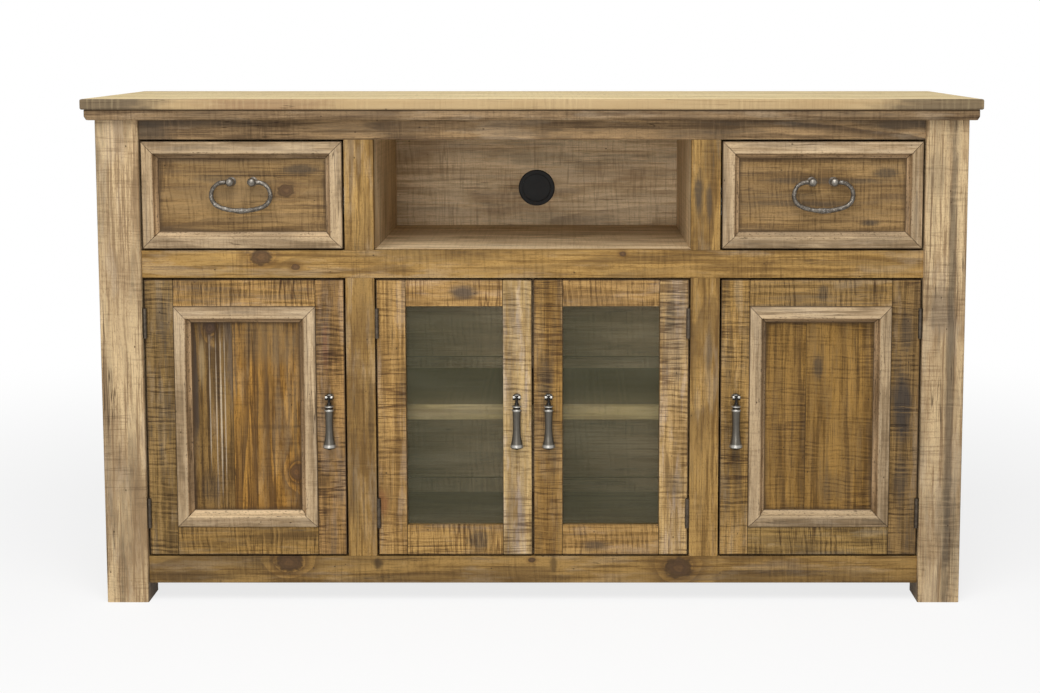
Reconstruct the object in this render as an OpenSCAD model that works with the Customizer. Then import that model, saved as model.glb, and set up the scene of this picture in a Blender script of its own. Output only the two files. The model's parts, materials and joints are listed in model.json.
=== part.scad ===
// TV stand in rustic pine: two drawers, two panelled doors, two glass doors and an open niche.
// X runs to the right, the front faces -Y and Z is up. The origin is on the floor, under the middle.

/* [Overall] */
// Width over the top
overall_w = 1524; // [1450:1:1650]
// Depth over the top
overall_d = 457; // [440:1:520]
// Height from the floor to the top's surface
overall_h = 878; // [820:1:950]

/* [Top] */
// Thickness of the upper slab
slab_t = 18; // [14:0.5:24]
// Rounding of the slab's edges
slab_round = 3; // [1:0.5:5]
// Planks that the slab is glued up from
plank_count = 5; // [3:1:7]
// Depth of the V joint between two planks
plank_joint = 1; // [0.5:0.1:2]
// Thickness of the boards under the slab
underlay_t = 18; // [14:0.5:24]
// Width of each board under the slab
underlay_board_w = 90; // [70:1:120]
// How far those boards stay inside the slab's edge
underlay_inset = 5; // [3:0.5:9]
// Bevel along their lower outer edge
underlay_bevel = 3; // [1:0.5:6]

/* [Case] */
// Side of a square corner post
post_w = 72; // [64:1:80]
// Bevel along a post's corners
post_ease = 1.5; // [0.5:0.5:3]
// How far the top overhangs the posts at each side
side_overhang = 19; // [14:1:26]
// How far the top overhangs the front posts
front_overhang = 20; // [20:1:30]
// How far the top overhangs the back
back_overhang = 5; // [2:0.5:10]
// How far the posts stand in front of the rails and doors
post_proud = 9; // [6:0.5:12]
// Thickness of the rails and stiles
rail_t = 22; // [20:0.5:24]
// Height of the bottom rail's lower edge
foot_h = 32; // [24:1:50]
// Height of the bottom rail
bottom_rail_h = 48; // [44:1:60]
// Height of the rail between the doors and the drawers
middle_rail_h = 48; // [40:1:60]
// Height of the drawer and niche openings
upper_opening_h = 190; // [180:1:210]
// Height of the rail under the top
top_rail_h = 34; // [26:1:50]
// Width of the stiles beside the centre
stile_w = 50; // [46:1:60]
// Width of the centre opening
centre_opening_w = 544; // [520:1:560]
// Thickness of the shelves, floors and partitions
board_t = 18; // [15:0.5:20]
// How far the cabinet floor stands above the bottom rail as a stop for the doors
floor_lip = 7; // [4:0.5:10]
// Thickness of the back boards
back_t = 8; // [6:0.5:9]
// Back boards from top to bottom
back_board_count = 4; // [3:1:6]
// Width of the lowest back board
back_low_board_w = 84; // [70:1:90]
// Height of an upper side rail
side_top_rail_h = 60; // [45:1:80]
// Height of a lower side rail
side_low_rail_h = 66; // [60:1:80]
// Thickness of a side panel
side_panel_t = 10; // [8:0.5:12]
// Depth of the groove that holds a panel
groove_d = 8; // [6:0.5:9]

/* [Doors and drawers] */
// Gap round each door and drawer front
door_gap = 3; // [3:0.1:3.4]
// Thickness of the doors
door_t = 20; // [19:0.5:21]
// Width of a panelled door's stiles and bottom rail
door_stile_w = 49; // [45:1:55]
// Height of a door's top rail
door_top_rail_h = 46; // [42:1:55]
// Width of a glass door's stiles
glass_stile_w = 50; // [45:1:55]
// Height of a glass door's bottom rail
glass_low_rail_h = 52; // [46:1:60]
// How far a door's panel lies behind the door's face
panel_back = 9; // [8:0.5:9.5]
// Width that shows of the narrower plank in a door's panel
panel_plank_w = 70; // [50:1:150]
// Thickness of a door's panel
panel_t = 8; // [6:0.5:9]
// How far a drawer's panel lies behind the drawer's face
drawer_panel_back = 5; // [4:0.5:7]
// Width of the moulding
mould_w = 29; // [26:0.5:34]
// How far the moulding's crest stands in front of the door's face
mould_crest = 7; // [5:0.5:8]
// How far the moulding's outer edge stands in front of the door's face
mould_edge = 3; // [2:0.5:4]
// Thickness of the glass
glass_t = 4; // [3:0.5:5]
// Width of the rebate and of the beads that hold the glass
rebate_w = 8; // [6:0.5:10]
// How far the glass lies behind the door's face
glass_back = 10; // [8:0.5:11]

/* [Drawer boxes] */
// Length of the slides and of the drawer boxes
slide_l = 350; // [320:1:356]
// Space that a slide takes beside the drawer box
slide_t = 12.7; // [12.7:0.1:13.5]
// Height of a slide
slide_h = 45; // [42:0.5:48]
// Sheet thickness of the slides
slide_wall = 1.2; // [1:0.1:1.4]
// Height of a drawer box
box_h = 130; // [110:1:145]
// Height of the box's lower edge above the opening's
box_lift = 17; // [15:1:20]
// Thickness of the box's sides and ends
box_t = 12; // [10:0.5:15]
// Thickness of the box's bottom
box_bottom_t = 6; // [4:0.5:7]

/* [Shelves] */
// Height of the shelves' underside
shelf_z = 318; // [260:1:400]
// Height of the lipping along the shelf's front edge
lipping_h = 28; // [22:1:34]
// How far the centre shelf's front lies behind the doors' face
centre_shelf_back = 67; // [60:1:110]
// Radius of a shelf pin
shelf_pin_r = 2.5; // [2:0.1:3]
// Distance between two pin holes above each other
pin_hole_step = 32; // [25:1:40]

/* [Hinges] */
// Height of a hinge
hinge_h = 52; // [48:1:60]
// Radius of the hinge's barrel
barrel_r = 3.5; // [3.3:0.05:3.55]
// Radius of the hinge's pin
hinge_pin_r = 1.5; // [1.3:0.1:1.8]
// Thickness of a hinge's leaf
leaf_t = 1.4; // [1.2:0.05:1.4]
// Depth of a hinge's leaf along the door's edge
leaf_d = 17; // [14:0.5:18]
// Height of a hinge's middle from the door's edge
hinge_from_edge = 75; // [60:1:100]

/* [Pulls] */
// Length of a drop pull from its pivot to its tip
drop_l = 92; // [84:1:100]
// Largest radius of a drop pull
drop_r = 11.8; // [10:0.1:12]
// Height of the drop pulls' pivot above the middle of the door
drop_rise = 39; // [20:1:80]
// Distance from a door's free edge to its pull
pull_inset = 26; // [23:0.5:28]
// Width of a bail over its rod
bail_w = 110; // [100:1:120]
// Height of a bail from its pivot to the bottom of its rod
bail_drop = 53.4; // [50:0.1:60]
// Radius of a bail's rod
bail_rod_r = 4.4; // [3.5:0.1:4.8]
// How much thinner the rod is near the balls than at the bottom
bail_taper = 1; // [0:0.1:1.2]
// Distance between the two balls of a drawer pull
ball_span = 37; // [33:1:40]
// Radius of a ball
ball_r = 7.5; // [7:0.1:8]
// Height of the bail's pivot above the middle of the drawer
bail_rise = 23; // [15:1:30]

/* [Cable grommet] */
// Radius of the grommet's flange
flange_r = 35; // [33:0.5:38]
// Radius of the hole through the back
grommet_hole_r = 30; // [28:0.5:31]
// Height of the grommet's middle above the niche's floor
grommet_rise = 73; // [60:1:100]

/* [Hidden] */

$fn = 48;

// Hairline between two pieces of wood that share a node
seam = 0.15;
// Play round a panel in its groove
play = 0.2;
// Radial clearance of a pin in its bore
running = 0.08;
// Overlap of a cutter past the face that it cuts
cut = 1;

// Heights
post_h = overall_h - slab_t - underlay_t;
upper_top = post_h - top_rail_h;
upper_low = upper_top - upper_opening_h;
lower_top = upper_low - middle_rail_h;
lower_low = foot_h + bottom_rail_h;
floor_top = lower_low + floor_lip;
upper_mid = (upper_low + upper_top) / 2;
lower_mid = (lower_low + lower_top) / 2;

// Widths from the middle
top_half = overall_w / 2;
body_half = top_half - side_overhang;
post_in = body_half - post_w;
centre_in = centre_opening_w / 2;
centre_out = centre_in + stile_w;
side_rail_out = body_half - post_proud;
side_rail_in = side_rail_out - rail_t;
panel_out = side_rail_out - (rail_t - side_panel_t) / 2;
panel_in = panel_out - side_panel_t;
part_out = centre_in + board_t;

// Depths
top_front = -overall_d / 2;
top_back = overall_d / 2;
post_front = top_front + front_overhang;
face = post_front + post_proud;
rail_back = face + rail_t;
door_back = face + door_t;
post_behind = post_front + post_w;
case_back = top_back - back_overhang;
rear_post_front = case_back - post_w;
back_face = case_back - back_t;

// Drawer front and doors
drawer_low = upper_low + door_gap;
drawer_top = upper_top - door_gap;
drawer_in = centre_out + door_gap;
drawer_out = post_in - door_gap;
drawer_mid_x = (drawer_in + drawer_out) / 2;
drawer_w = drawer_out - drawer_in;
drawer_h = drawer_top - drawer_low;
door_low = lower_low + door_gap;
door_top = lower_top - door_gap;
door_h = door_top - door_low;
glass_in = door_gap / 2;
glass_out = centre_in - door_gap;
drawer_panel_y = face + drawer_panel_back;
door_panel_y = face + panel_back;

// Slides and boxes
slide_z = upper_mid - 13;
slide_front = rail_back + 2;
slide_back = slide_front + slide_l;
box_in = centre_out + slide_t;
box_out = post_in - slide_t;
box_low = upper_low + box_lift;
box_back = door_back + slide_l;
bottom_lift = 8;
box_groove = box_t / 2;
cleat_h = slide_h + 5;

// Hinges: the axis stands 4 mm from the post and just in front of the doors' face
axis_off = 4;
axis_y = face - barrel_r - 0.4;
knuckle_gap = 0.3;
// How far the leaves start behind the doors' face
leaf_set = 0.6;
hinge_zs = [door_low + hinge_from_edge, door_top - hinge_from_edge];

// Pulls
drop_axis_y = face - drop_r - 1;
drop_z = lower_mid + drop_rise;
ear_r = 4.4;
ear_in = 1.7;
ear_out = 6.6;
drop_pin_r = 1.6;
bail_axis_y = drawer_panel_y - 16;
bail_z = upper_mid + bail_rise;
bail_pin_r = 2;
// Radial clearance of a bail's pin, which fits loosely
bail_play = 0.15;
// Distance of the flat round a bore from the middle of its ball
ball_flat = ball_r - 0.7;

// Shelf pins
pin_out = 9;
pin_in = 8;
side_shelf_front = rail_back + 15;
post_pin_y = post_behind - 12;
rear_pin_y = (rear_post_front + back_face) / 2;
centre_shelf_front = face + centre_shelf_back;
centre_pin_y = centre_shelf_front + 25;
shelf_back = back_face - 2;

// Colours
pale_wood = [0.74, 0.64, 0.50];
honey_wood = [0.66, 0.48, 0.28];
brown_wood = [0.55, 0.40, 0.25];
grey_wood = [0.45, 0.39, 0.32];
pewter = [0.42, 0.41, 0.39];
steel = [0.66, 0.67, 0.69];
black_plastic = [0.05, 0.05, 0.05];
smoke_glass = [0.35, 0.40, 0.38, 0.4];

// A box from its lowest corner to its highest corner
module block(low, high) {
  translate(low) cube(high - low);
}

// The shape and its mirror image at the other side
module both_sides() {
  children();
  mirror([1, 0, 0]) children();
}

module left() {
  mirror([1, 0, 0]) children();
}

// Points along an arc, from one angle to another
function arc(cx, cy, r, from, to, steps) =
  [for (i = [0 : steps]) let (a = from + (to - from) * i / steps) [cx + r * cos(a), cy + r * sin(a)]];

function rounded_rect(w, h, r) = concat(
  arc(w / 2 - r, h / 2 - r, r, 0, 90, 4),
  arc(-w / 2 + r, h / 2 - r, r, 90, 180, 4),
  arc(-w / 2 + r, -h / 2 + r, r, 180, 270, 4),
  arc(w / 2 - r, -h / 2 + r, r, 270, 360, 4)
);

// Lays a section of width (x) and height (y) along X: its width points up and its height to the front
module along_x() {
  rotate([90, 0, 0]) rotate([90, 0, 90]) children();
}

// One side of a mitred frame, on its outer edge, with the section's width w
module mitred_side(length, section, w, depth) {
  over = 1;
  half = length / 2 - seam / 2;
  intersection() {
    translate([-length / 2 - over, 0, 0]) along_x() linear_extrude(length + 2 * over) polygon(section);
    rotate([90, 0, 0]) linear_extrude(depth * 2 + 2, center = true)
      polygon([
        [-half - over, -over], [half + over, -over],
        [half - w - over, w + over], [-half + w + over, w + over]
      ]);
  }
}

// Four mitred boards round a rectangle that is w wide and h high
module mitred_frame(w, h, section, section_w, depth) {
  for (turn = [0 : 3]) {
    along = turn % 2 == 0 ? w : h;
    across = turn % 2 == 0 ? h : w;
    rotate([0, 90 * turn, 0]) translate([0, 0, -across / 2])
      mitred_side(along, section, section_w, depth);
  }
}

// The moulding's section: a rounded outer edge, a nearly flat face, a crest and a hollow inner slope
function mould_section(edge_h, crest_h) =
  let (
    round_r = 2.5, crest_r = 2.2, crest_x = mould_w - 9.7,
    slope_x = crest_x + crest_r, slope_w = mould_w - slope_x - 0.8, foot = 2.2
  )
  concat(
    [[0, 0]],
    arc(round_r, edge_h - round_r, round_r, 180, 100, 3),
    arc(crest_x, crest_h - crest_r, crest_r, 100, 0, 5),
    [for (i = [1 : 5]) let (a = 18 * i)
      [slope_x + slope_w * (1 - cos(a)), foot + (crest_h - crest_r - foot) * (1 - sin(a))]],
    [[mould_w, foot - 0.6], [mould_w, 0]]
  );

// Top

module top_board() {
  groove_w = plank_joint * 1.2;
  plank_w = overall_d / plank_count;
  color(pale_wood) difference() {
    translate([0, 0, overall_h - slab_t / 2]) intersection() {
      rotate([90, 0, 90]) linear_extrude(overall_w, center = true)
        polygon(rounded_rect(overall_d, slab_t, slab_round));
      rotate([90, 0, 0]) linear_extrude(overall_d + 2, center = true)
        polygon(rounded_rect(overall_w, slab_t, slab_round));
    }
    for (i = [1 : plank_count - 1])
      translate([0, top_front + i * plank_w, overall_h]) rotate([90, 0, 90])
        linear_extrude(overall_w + 2, center = true)
          polygon([[-groove_w, cut], [-groove_w, 0], [0, -plank_joint], [groove_w, 0], [groove_w, cut]]);
  }
}

module top_underlay() {
  section = [
    [0, 0], [underlay_board_w, 0], [underlay_board_w, underlay_t], [underlay_bevel, underlay_t],
    [0, underlay_t - 2 * underlay_bevel]
  ];
  color(pale_wood) translate([0, 0, overall_h - slab_t]) rotate([90, 0, 0])
    mitred_frame(overall_w - 2 * underlay_inset, overall_d - 2 * underlay_inset, section,
      underlay_board_w, underlay_t);
}

// Case

// A post from its front inner corner on the right-hand side, with its corners bevelled
module post(front) {
  e = post_ease;
  w = post_w;
  translate([post_in, front, 0]) linear_extrude(post_h)
    polygon([[e, 0], [w - e, 0], [w, e], [w, w - e], [w - e, w], [e, w], [0, w - e], [0, e]]);
}

// What a side panel needs round it in its grooves
module panel_groove() {
  block(
    [panel_in - play, post_behind - groove_d - play, foot_h + side_low_rail_h - groove_d - play],
    [panel_out + play, rear_post_front + groove_d + play, post_h - side_top_rail_h + groove_d + play]
  );
}

// Blind holes for shelf pins, drilled along X from a face at x to the right
module pin_holes(x, y) {
  for (step = [-1 : 1])
    translate([x - cut, y, shelf_z - shelf_pin_r + step * pin_hole_step]) rotate([0, 90, 0])
      cylinder(r = shelf_pin_r, h = pin_in + cut);
}

module front_posts() {
  color(pale_wood) both_sides() difference() {
    post(post_front);
    panel_groove();
    pin_holes(post_in, post_pin_y);
  }
}

module rear_posts() {
  color(pale_wood) both_sides() difference() {
    post(rear_post_front);
    panel_groove();
    pin_holes(post_in, rear_pin_y);
  }
}

// A rail across the front, from post to post
module front_rail(low, high) {
  block([-post_in, face, low], [post_in, rail_back, high]);
}

module top_rail() {
  color(honey_wood) front_rail(upper_top, post_h);
}

module middle_rail() {
  color(honey_wood) front_rail(lower_top, upper_low);
}

module bottom_rail() {
  color(honey_wood) front_rail(foot_h, lower_low);
}

module face_stiles() {
  color(honey_wood) both_sides() {
    block([centre_in, face, upper_low], [centre_out, rail_back, upper_top]);
    block([centre_in, face, lower_low], [centre_out, rail_back, lower_top]);
  }
}

module side_rails() {
  color(honey_wood) both_sides() {
    difference() {
      block([side_rail_in, post_behind, post_h - side_top_rail_h], [side_rail_out, rear_post_front, post_h]);
      panel_groove();
    }
    difference() {
      block([side_rail_in, post_behind, foot_h], [side_rail_out, rear_post_front, foot_h + side_low_rail_h]);
      panel_groove();
    }
  }
}

module side_panels() {
  color(pale_wood) both_sides()
    block(
      [panel_in, post_behind - groove_d, foot_h + side_low_rail_h - groove_d],
      [panel_out, rear_post_front + groove_d, post_h - side_top_rail_h + groove_d]
    );
}

module partitions() {
  color(grey_wood) both_sides() difference() {
    block([centre_in, rail_back, floor_top], [part_out, back_face, post_h]);
    for (y = [centre_pin_y, rear_pin_y]) pin_holes(centre_in, y);
    for (y = [post_pin_y, rear_pin_y]) translate([2 * part_out, 0, 0]) left() pin_holes(part_out, y);
  }
}

module niche_floor() {
  color(grey_wood) block([-centre_in, rail_back, upper_low - board_t], [centre_in, back_face, upper_low]);
}

module cabinet_floor() {
  half = [
    [post_in, rail_back], [post_in, post_behind], [side_rail_in, post_behind],
    [side_rail_in, rear_post_front], [post_in, rear_post_front], [post_in, back_face]
  ];
  count = len(half);
  color(grey_wood) translate([0, 0, floor_top - board_t]) linear_extrude(board_t)
    polygon(concat(half, [for (i = [count - 1 : -1 : 0]) [-half[i][0], half[i][1]]]));
}

module back_boards() {
  bevel = 1.5;
  above = foot_h + back_low_board_w;
  upper_w = (post_h - above) / (back_board_count - 1);
  color(grey_wood) difference() {
    for (i = [0 : back_board_count - 1]) {
      low = i == 0 ? foot_h : above + (i - 1) * upper_w + seam;
      high = i == 0 ? above : above + i * upper_w;
      translate([-post_in, 0, 0]) rotate([90, 0, 90]) linear_extrude(2 * post_in)
        polygon([
          [case_back, low], [case_back, high], [back_face + bevel, high], [back_face, high - bevel],
          [back_face, low + bevel], [back_face + bevel, low]
        ]);
    }
    translate([0, case_back + cut, upper_low + grommet_rise]) rotate([90, 0, 0])
      cylinder(r = grommet_hole_r, h = back_t + 2 * cut);
  }
}

module shelves() {
  lipping_t = 20;
  side_gap = 1;
  color(grey_wood) {
    block([side_gap - centre_in, centre_shelf_front, shelf_z], [centre_in - side_gap, shelf_back, shelf_z + board_t]);
    block(
      [side_gap - centre_in, centre_shelf_front, shelf_z + board_t - lipping_h],
      [centre_in - side_gap, centre_shelf_front + lipping_t, shelf_z + board_t]
    );
    both_sides() translate([0, 0, shelf_z]) linear_extrude(board_t)
      offset_bay(side_gap);
  }
}

// A side shelf's outline, a little smaller than its bay
module offset_bay(gap) {
  polygon([
    [part_out + gap, side_shelf_front], [post_in - gap, side_shelf_front],
    [post_in - gap, post_behind + gap], [panel_in - gap, post_behind + gap],
    [panel_in - gap, rear_post_front - gap], [post_in - gap, rear_post_front - gap],
    [post_in - gap, shelf_back], [part_out + gap, shelf_back]
  ]);
}

// A shelf pin that stands out of a face at x to the left, with a collar against the face
module shelf_pin(x, y) {
  r = shelf_pin_r - running;
  translate([x, y, shelf_z - shelf_pin_r]) rotate([0, -90, 0]) {
    translate([0, 0, -pin_in + 0.5]) cylinder(r = r, h = pin_in - 0.5 + pin_out);
    cylinder(r = shelf_pin_r, h = pin_out);
  }
}

module shelf_pins() {
  color(steel) both_sides() {
    for (y = [centre_pin_y, rear_pin_y]) shelf_pin(centre_in, y);
    for (y = [post_pin_y, rear_pin_y]) {
      shelf_pin(post_in, y);
      translate([2 * part_out, 0, 0]) left() shelf_pin(part_out, y);
    }
  }
}

// Slides

module slide_cleats() {
  low = slide_z - cleat_h / 2;
  high = slide_z + cleat_h / 2;
  color(grey_wood) both_sides() {
    block([post_in, post_behind, low], [panel_in, rear_post_front, high]);
    block([part_out, rail_back, low], [centre_out, back_face, high]);
  }
}

// Sections of the three members; t runs from the cabinet's side to the drawer's
slide_play = 0.4;
lip = 1.6;
cabinet_flange = 9.5;
middle_web = 3.2;
middle_flange = 11;
drawer_flange = 5.2;
middle_half = slide_h / 2 - slide_wall - lip - slide_play;
drawer_half = middle_half - slide_wall - slide_play;

// A channel with its web at t0 and its flanges reaching t1
function channel(t0, t1, half) = let (w = slide_wall * sign(t1 - t0)) [
  [t0, -half], [t1, -half], [t1, -half + slide_wall], [t0 + w, -half + slide_wall],
  [t0 + w, half - slide_wall], [t1, half - slide_wall], [t1, half], [t0, half]
];

// The same with a lip turned in at the end of each flange
function lipped_channel(t0, t1, half) = let (w = slide_wall * sign(t1 - t0)) [
  [t0, -half], [t1, -half], [t1, -half + slide_wall + lip], [t1 - w, -half + slide_wall + lip],
  [t1 - w, -half + slide_wall], [t0 + w, -half + slide_wall], [t0 + w, half - slide_wall],
  [t1 - w, half - slide_wall], [t1 - w, half - slide_wall - lip], [t1, half - slide_wall - lip],
  [t1, half], [t0, half]
];

module slide_member(section) {
  translate([0, slide_back, slide_z]) rotate([90, 0, 0]) linear_extrude(slide_l) polygon(section);
}

// The two slides of the right-hand drawer, each from its mounting face inwards
module slide_pair(section) {
  translate([centre_out, 0, 0]) slide_member(section);
  translate([post_in, 0, 0]) left() slide_member(section);
}

module slide_cabinet_members() {
  color(steel) both_sides() slide_pair(lipped_channel(0, cabinet_flange, slide_h / 2));
}

module right_slide_middle_members() {
  color(steel) slide_pair(channel(middle_web, middle_flange, middle_half));
}

module left_slide_middle_members() {
  left() right_slide_middle_members();
}

module right_slide_drawer_members() {
  color(steel) slide_pair(channel(slide_t, drawer_flange, drawer_half));
}

module left_slide_drawer_members() {
  left() right_slide_drawer_members();
}

// Drawers

module right_drawer_front() {
  color(brown_wood) block([drawer_in, drawer_panel_y, drawer_low], [drawer_out, door_back, drawer_top]);
}

module left_drawer_front() {
  left() right_drawer_front();
}

module right_drawer_moulding() {
  color(pale_wood) translate([drawer_mid_x, drawer_panel_y, (drawer_low + drawer_top) / 2])
    mitred_frame(drawer_w, drawer_h,
      mould_section(drawer_panel_back + mould_edge, drawer_panel_back + mould_crest), mould_w,
      drawer_panel_back + mould_crest);
}

module left_drawer_moulding() {
  left() right_drawer_moulding();
}

// The drawer's bottom, or the groove that it slides into
module box_bottom(extra) {
  reach = box_groove;
  low = box_low + bottom_lift;
  block(
    [box_in + box_t - reach - extra, door_back + box_t - reach - extra, low - extra],
    [box_out - box_t + reach + extra, box_back - box_t + reach + extra, low + box_bottom_t + extra]
  );
}

module right_drawer_box() {
  high = box_low + box_h;
  color(pale_wood) {
    difference() {
      union() {
        block([box_in, door_back, box_low], [box_in + box_t, box_back, high]);
        block([box_out - box_t, door_back, box_low], [box_out, box_back, high]);
        block([box_in + box_t + seam, door_back, box_low], [box_out - box_t - seam, door_back + box_t, high]);
        block([box_in + box_t + seam, box_back - box_t, box_low], [box_out - box_t - seam, box_back, high]);
      }
      box_bottom(seam);
    }
    box_bottom(0);
  }
}

module left_drawer_box() {
  left() right_drawer_box();
}

// Two ball posts with a bore for the bail's ends, each ball flat round its bore
module right_bail_posts() {
  stem_r = 4;
  rose_r = 8;
  rose_front_r = 5.5;
  rose_t = 2.5;
  bore_start = 1;
  color(pewter) translate([drawer_mid_x, 0, bail_z]) both_sides() translate([ball_span / 2, 0, 0])
    difference() {
      union() {
        translate([0, bail_axis_y, 0]) rotate([0, 0, 180]) sphere(r = ball_r);
        translate([0, drawer_panel_y, 0]) rotate([90, 0, 0]) {
          cylinder(r = stem_r, h = drawer_panel_y - bail_axis_y);
          cylinder(r1 = rose_r, r2 = rose_front_r, h = rose_t);
        }
      }
      translate([bore_start, bail_axis_y, 0]) rotate([0, 90, 0]) cylinder(r = bail_pin_r + bail_play, h = ball_r);
      translate([ball_flat, bail_axis_y - ball_r, -ball_r]) cube(2 * ball_r);
    }
}

module left_bail_posts() {
  left() right_bail_posts();
}

// The bail's middle line: a level end, a small arc round the side and a large arc along the bottom
collar_l = 7;
bail_end = ball_span / 2 + ball_flat + 0.4;
bail_half = bail_w / 2 - bail_rod_r;
bail_low = bail_drop - bail_rod_r;
side_r = 22;
side_x = bail_half - side_r;
low_r = (side_x * side_x + (bail_low - side_r) * (bail_low - side_r) - side_r * side_r)
  / (2 * (bail_low - side_r) - 2 * side_r);
low_angle = asin(side_x / (low_r - side_r));

// Points of the bail's middle line, [x, z] from the pivot, for its right half from the bottom up
bail_half_line = concat(
  [for (i = [1 : 5]) let (b = low_angle * i / 5)
    [low_r * sin(b), low_r - bail_low - low_r * cos(b)]],
  [for (i = [1 : 10]) let (a = low_angle - 90 + (180 - low_angle) * i / 10)
    [side_x + side_r * cos(a), -side_r + side_r * sin(a)]],
  [[bail_end + 1, 0]]
);
bail_half_count = len(bail_half_line);
bail_line = concat(
  [for (i = [bail_half_count - 1 : -1 : 0]) [-bail_half_line[i][0], bail_half_line[i][1]]],
  [[0, -bail_low]],
  bail_half_line
);
bail_rings = len(bail_line);
bail_sides = 8;

// A unit vector along the line at one of its points
function bail_along(i) =
  let (a = bail_line[max(i - 1, 0)], b = bail_line[min(i + 1, bail_rings - 1)])
  (b - a) / norm(b - a);

// The forged rod is thickest at the bottom and thinner towards the balls
function bail_r(i) = bail_rod_r - bail_taper * pow(abs(i / (bail_rings - 1) - 0.5) * 2, 2);

module bail_rod() {
  points = [for (i = [0 : bail_rings - 1], k = [0 : bail_sides - 1])
    let (t = bail_along(i), a = 360 * (k + 0.5) / bail_sides, r = bail_r(i))
      [bail_line[i][0] - t[1] * r * cos(a), r * sin(a), bail_line[i][1] + t[0] * r * cos(a)]];
  side_faces = [for (i = [0 : bail_rings - 2], k = [0 : bail_sides - 1])
    let (n = (k + 1) % bail_sides, here = i * bail_sides, next = here + bail_sides)
      [[here + k, here + n, next + n], [here + k, next + n, next + k]]];
  ends = [
    [for (k = [bail_sides - 1 : -1 : 0]) k],
    [for (k = [0 : bail_sides - 1]) (bail_rings - 1) * bail_sides + k]
  ];
  polyhedron(points, concat([for (pair = side_faces, f = pair) f], ends), convexity = 4);
}

// A collar where the rod meets its ball, and the pin that turns in the ball
module bail_ending() {
  into = 5;
  translate([bail_end, 0, 0]) rotate([0, 90, 0]) cylinder(r = bail_rod_r, h = collar_l);
  translate([bail_end - into, 0, 0]) rotate([0, 90, 0]) cylinder(r = bail_pin_r, h = into + cut);
}

// The bail has a small lozenge in the middle of its bottom
module right_bail() {
  lozenge_w = 18;
  lozenge_h = 2 * bail_rod_r + 1.6;
  lozenge_t = 2 * bail_rod_r - 1;
  color(pewter) translate([drawer_mid_x, bail_axis_y, bail_z]) {
    bail_rod();
    both_sides() bail_ending();
    translate([0, 0, -bail_low]) rotate([90, 0, 0]) linear_extrude(lozenge_t, center = true)
      polygon([[-lozenge_w / 2, 0], [0, lozenge_h / 2], [lozenge_w / 2, 0], [0, -lozenge_h / 2]]);
  }
}

module left_bail() {
  left() right_bail();
}

// Doors

// Two stiles and two rails from x0 to x1, with a hairline at each joint
module door_members(x0, x1, stile, top_rail, low_rail) {
  block([x0, face, door_low], [x0 + stile, door_back, door_top]);
  block([x1 - stile, face, door_low], [x1, door_back, door_top]);
  block([x0 + stile + seam, face, door_top - top_rail], [x1 - stile - seam, door_back, door_top]);
  block([x0 + stile + seam, face, door_low], [x1 - stile - seam, door_back, door_low + low_rail]);
}

// The panel of a panelled door, or with extra play the groove that holds it
module door_panel_space(extra) {
  into = groove_d + extra;
  block(
    [drawer_in + door_stile_w - into, door_panel_y - extra, door_low + door_stile_w - into],
    [drawer_out - door_stile_w + into, door_panel_y + panel_t + extra, door_top - door_top_rail_h + into]
  );
}

module right_door_frame() {
  color(honey_wood) difference() {
    door_members(drawer_in, drawer_out, door_stile_w, door_top_rail_h, door_stile_w);
    door_panel_space(play);
  }
}

module left_door_frame() {
  left() right_door_frame();
}

// A panel of two planks side by side, with their joint at x
module door_panel(joint) {
  color(brown_wood) difference() {
    door_panel_space(0);
    block([joint - seam / 2, face, 0], [joint + seam / 2, door_back, overall_h]);
  }
}

// The narrower plank is at the left on both doors
module right_door_panel() {
  door_panel(drawer_in + door_stile_w + mould_w + panel_plank_w);
}

module left_door_panel() {
  left() door_panel(drawer_out - door_stile_w - mould_w - panel_plank_w);
}

module right_door_moulding() {
  low = door_low + door_stile_w;
  high = door_top - door_top_rail_h;
  color(pale_wood) translate([drawer_mid_x, door_panel_y, (low + high) / 2])
    mitred_frame(drawer_w - 2 * door_stile_w - 2 * seam, high - low - 2 * seam,
      mould_section(panel_back + mould_edge, panel_back + mould_crest), mould_w, panel_back + mould_crest);
}

module left_door_moulding() {
  left() right_door_moulding();
}

module right_glass_frame() {
  lap = rebate_w;
  color(honey_wood) difference() {
    door_members(glass_in, glass_out, glass_stile_w, door_top_rail_h, glass_low_rail_h);
    block(
      [glass_in + glass_stile_w - lap, face + glass_back, door_low + glass_low_rail_h - lap],
      [glass_out - glass_stile_w + lap, door_back + cut, door_top - door_top_rail_h + lap]
    );
  }
}

module left_glass_frame() {
  left() right_glass_frame();
}

module right_glass() {
  lap = rebate_w - play;
  y = face + glass_back;
  color(smoke_glass) block(
    [glass_in + glass_stile_w - lap, y, door_low + glass_low_rail_h - lap],
    [glass_out - glass_stile_w + lap, y + glass_t, door_top - door_top_rail_h + lap]
  );
}

module left_glass() {
  left() right_glass();
}

// Mitred beads behind the glass
module right_glass_beads() {
  low = door_low + glass_low_rail_h - rebate_w;
  high = door_top - door_top_rail_h + rebate_w;
  bead_t = door_t - glass_back - glass_t;
  section = [[0, 0], [rebate_w, 0], [rebate_w, bead_t * 0.4], [rebate_w * 0.5, bead_t], [0, bead_t]];
  color(brown_wood) translate([(glass_in + glass_out) / 2, door_back - bead_t, (low + high) / 2])
    mirror([0, 1, 0])
      mitred_frame(glass_out - glass_in - 2 * glass_stile_w + 2 * rebate_w - 2 * seam, high - low - 2 * seam,
        section, rebate_w, bead_t);
}

module left_glass_beads() {
  left() right_glass_beads();
}

// Hinges

// One hinge's knuckles between two heights, with the leaf that joins them
module knuckle(low, high) {
  translate([-axis_off, axis_y, low]) cylinder(r = barrel_r, h = high - low);
}

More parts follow.
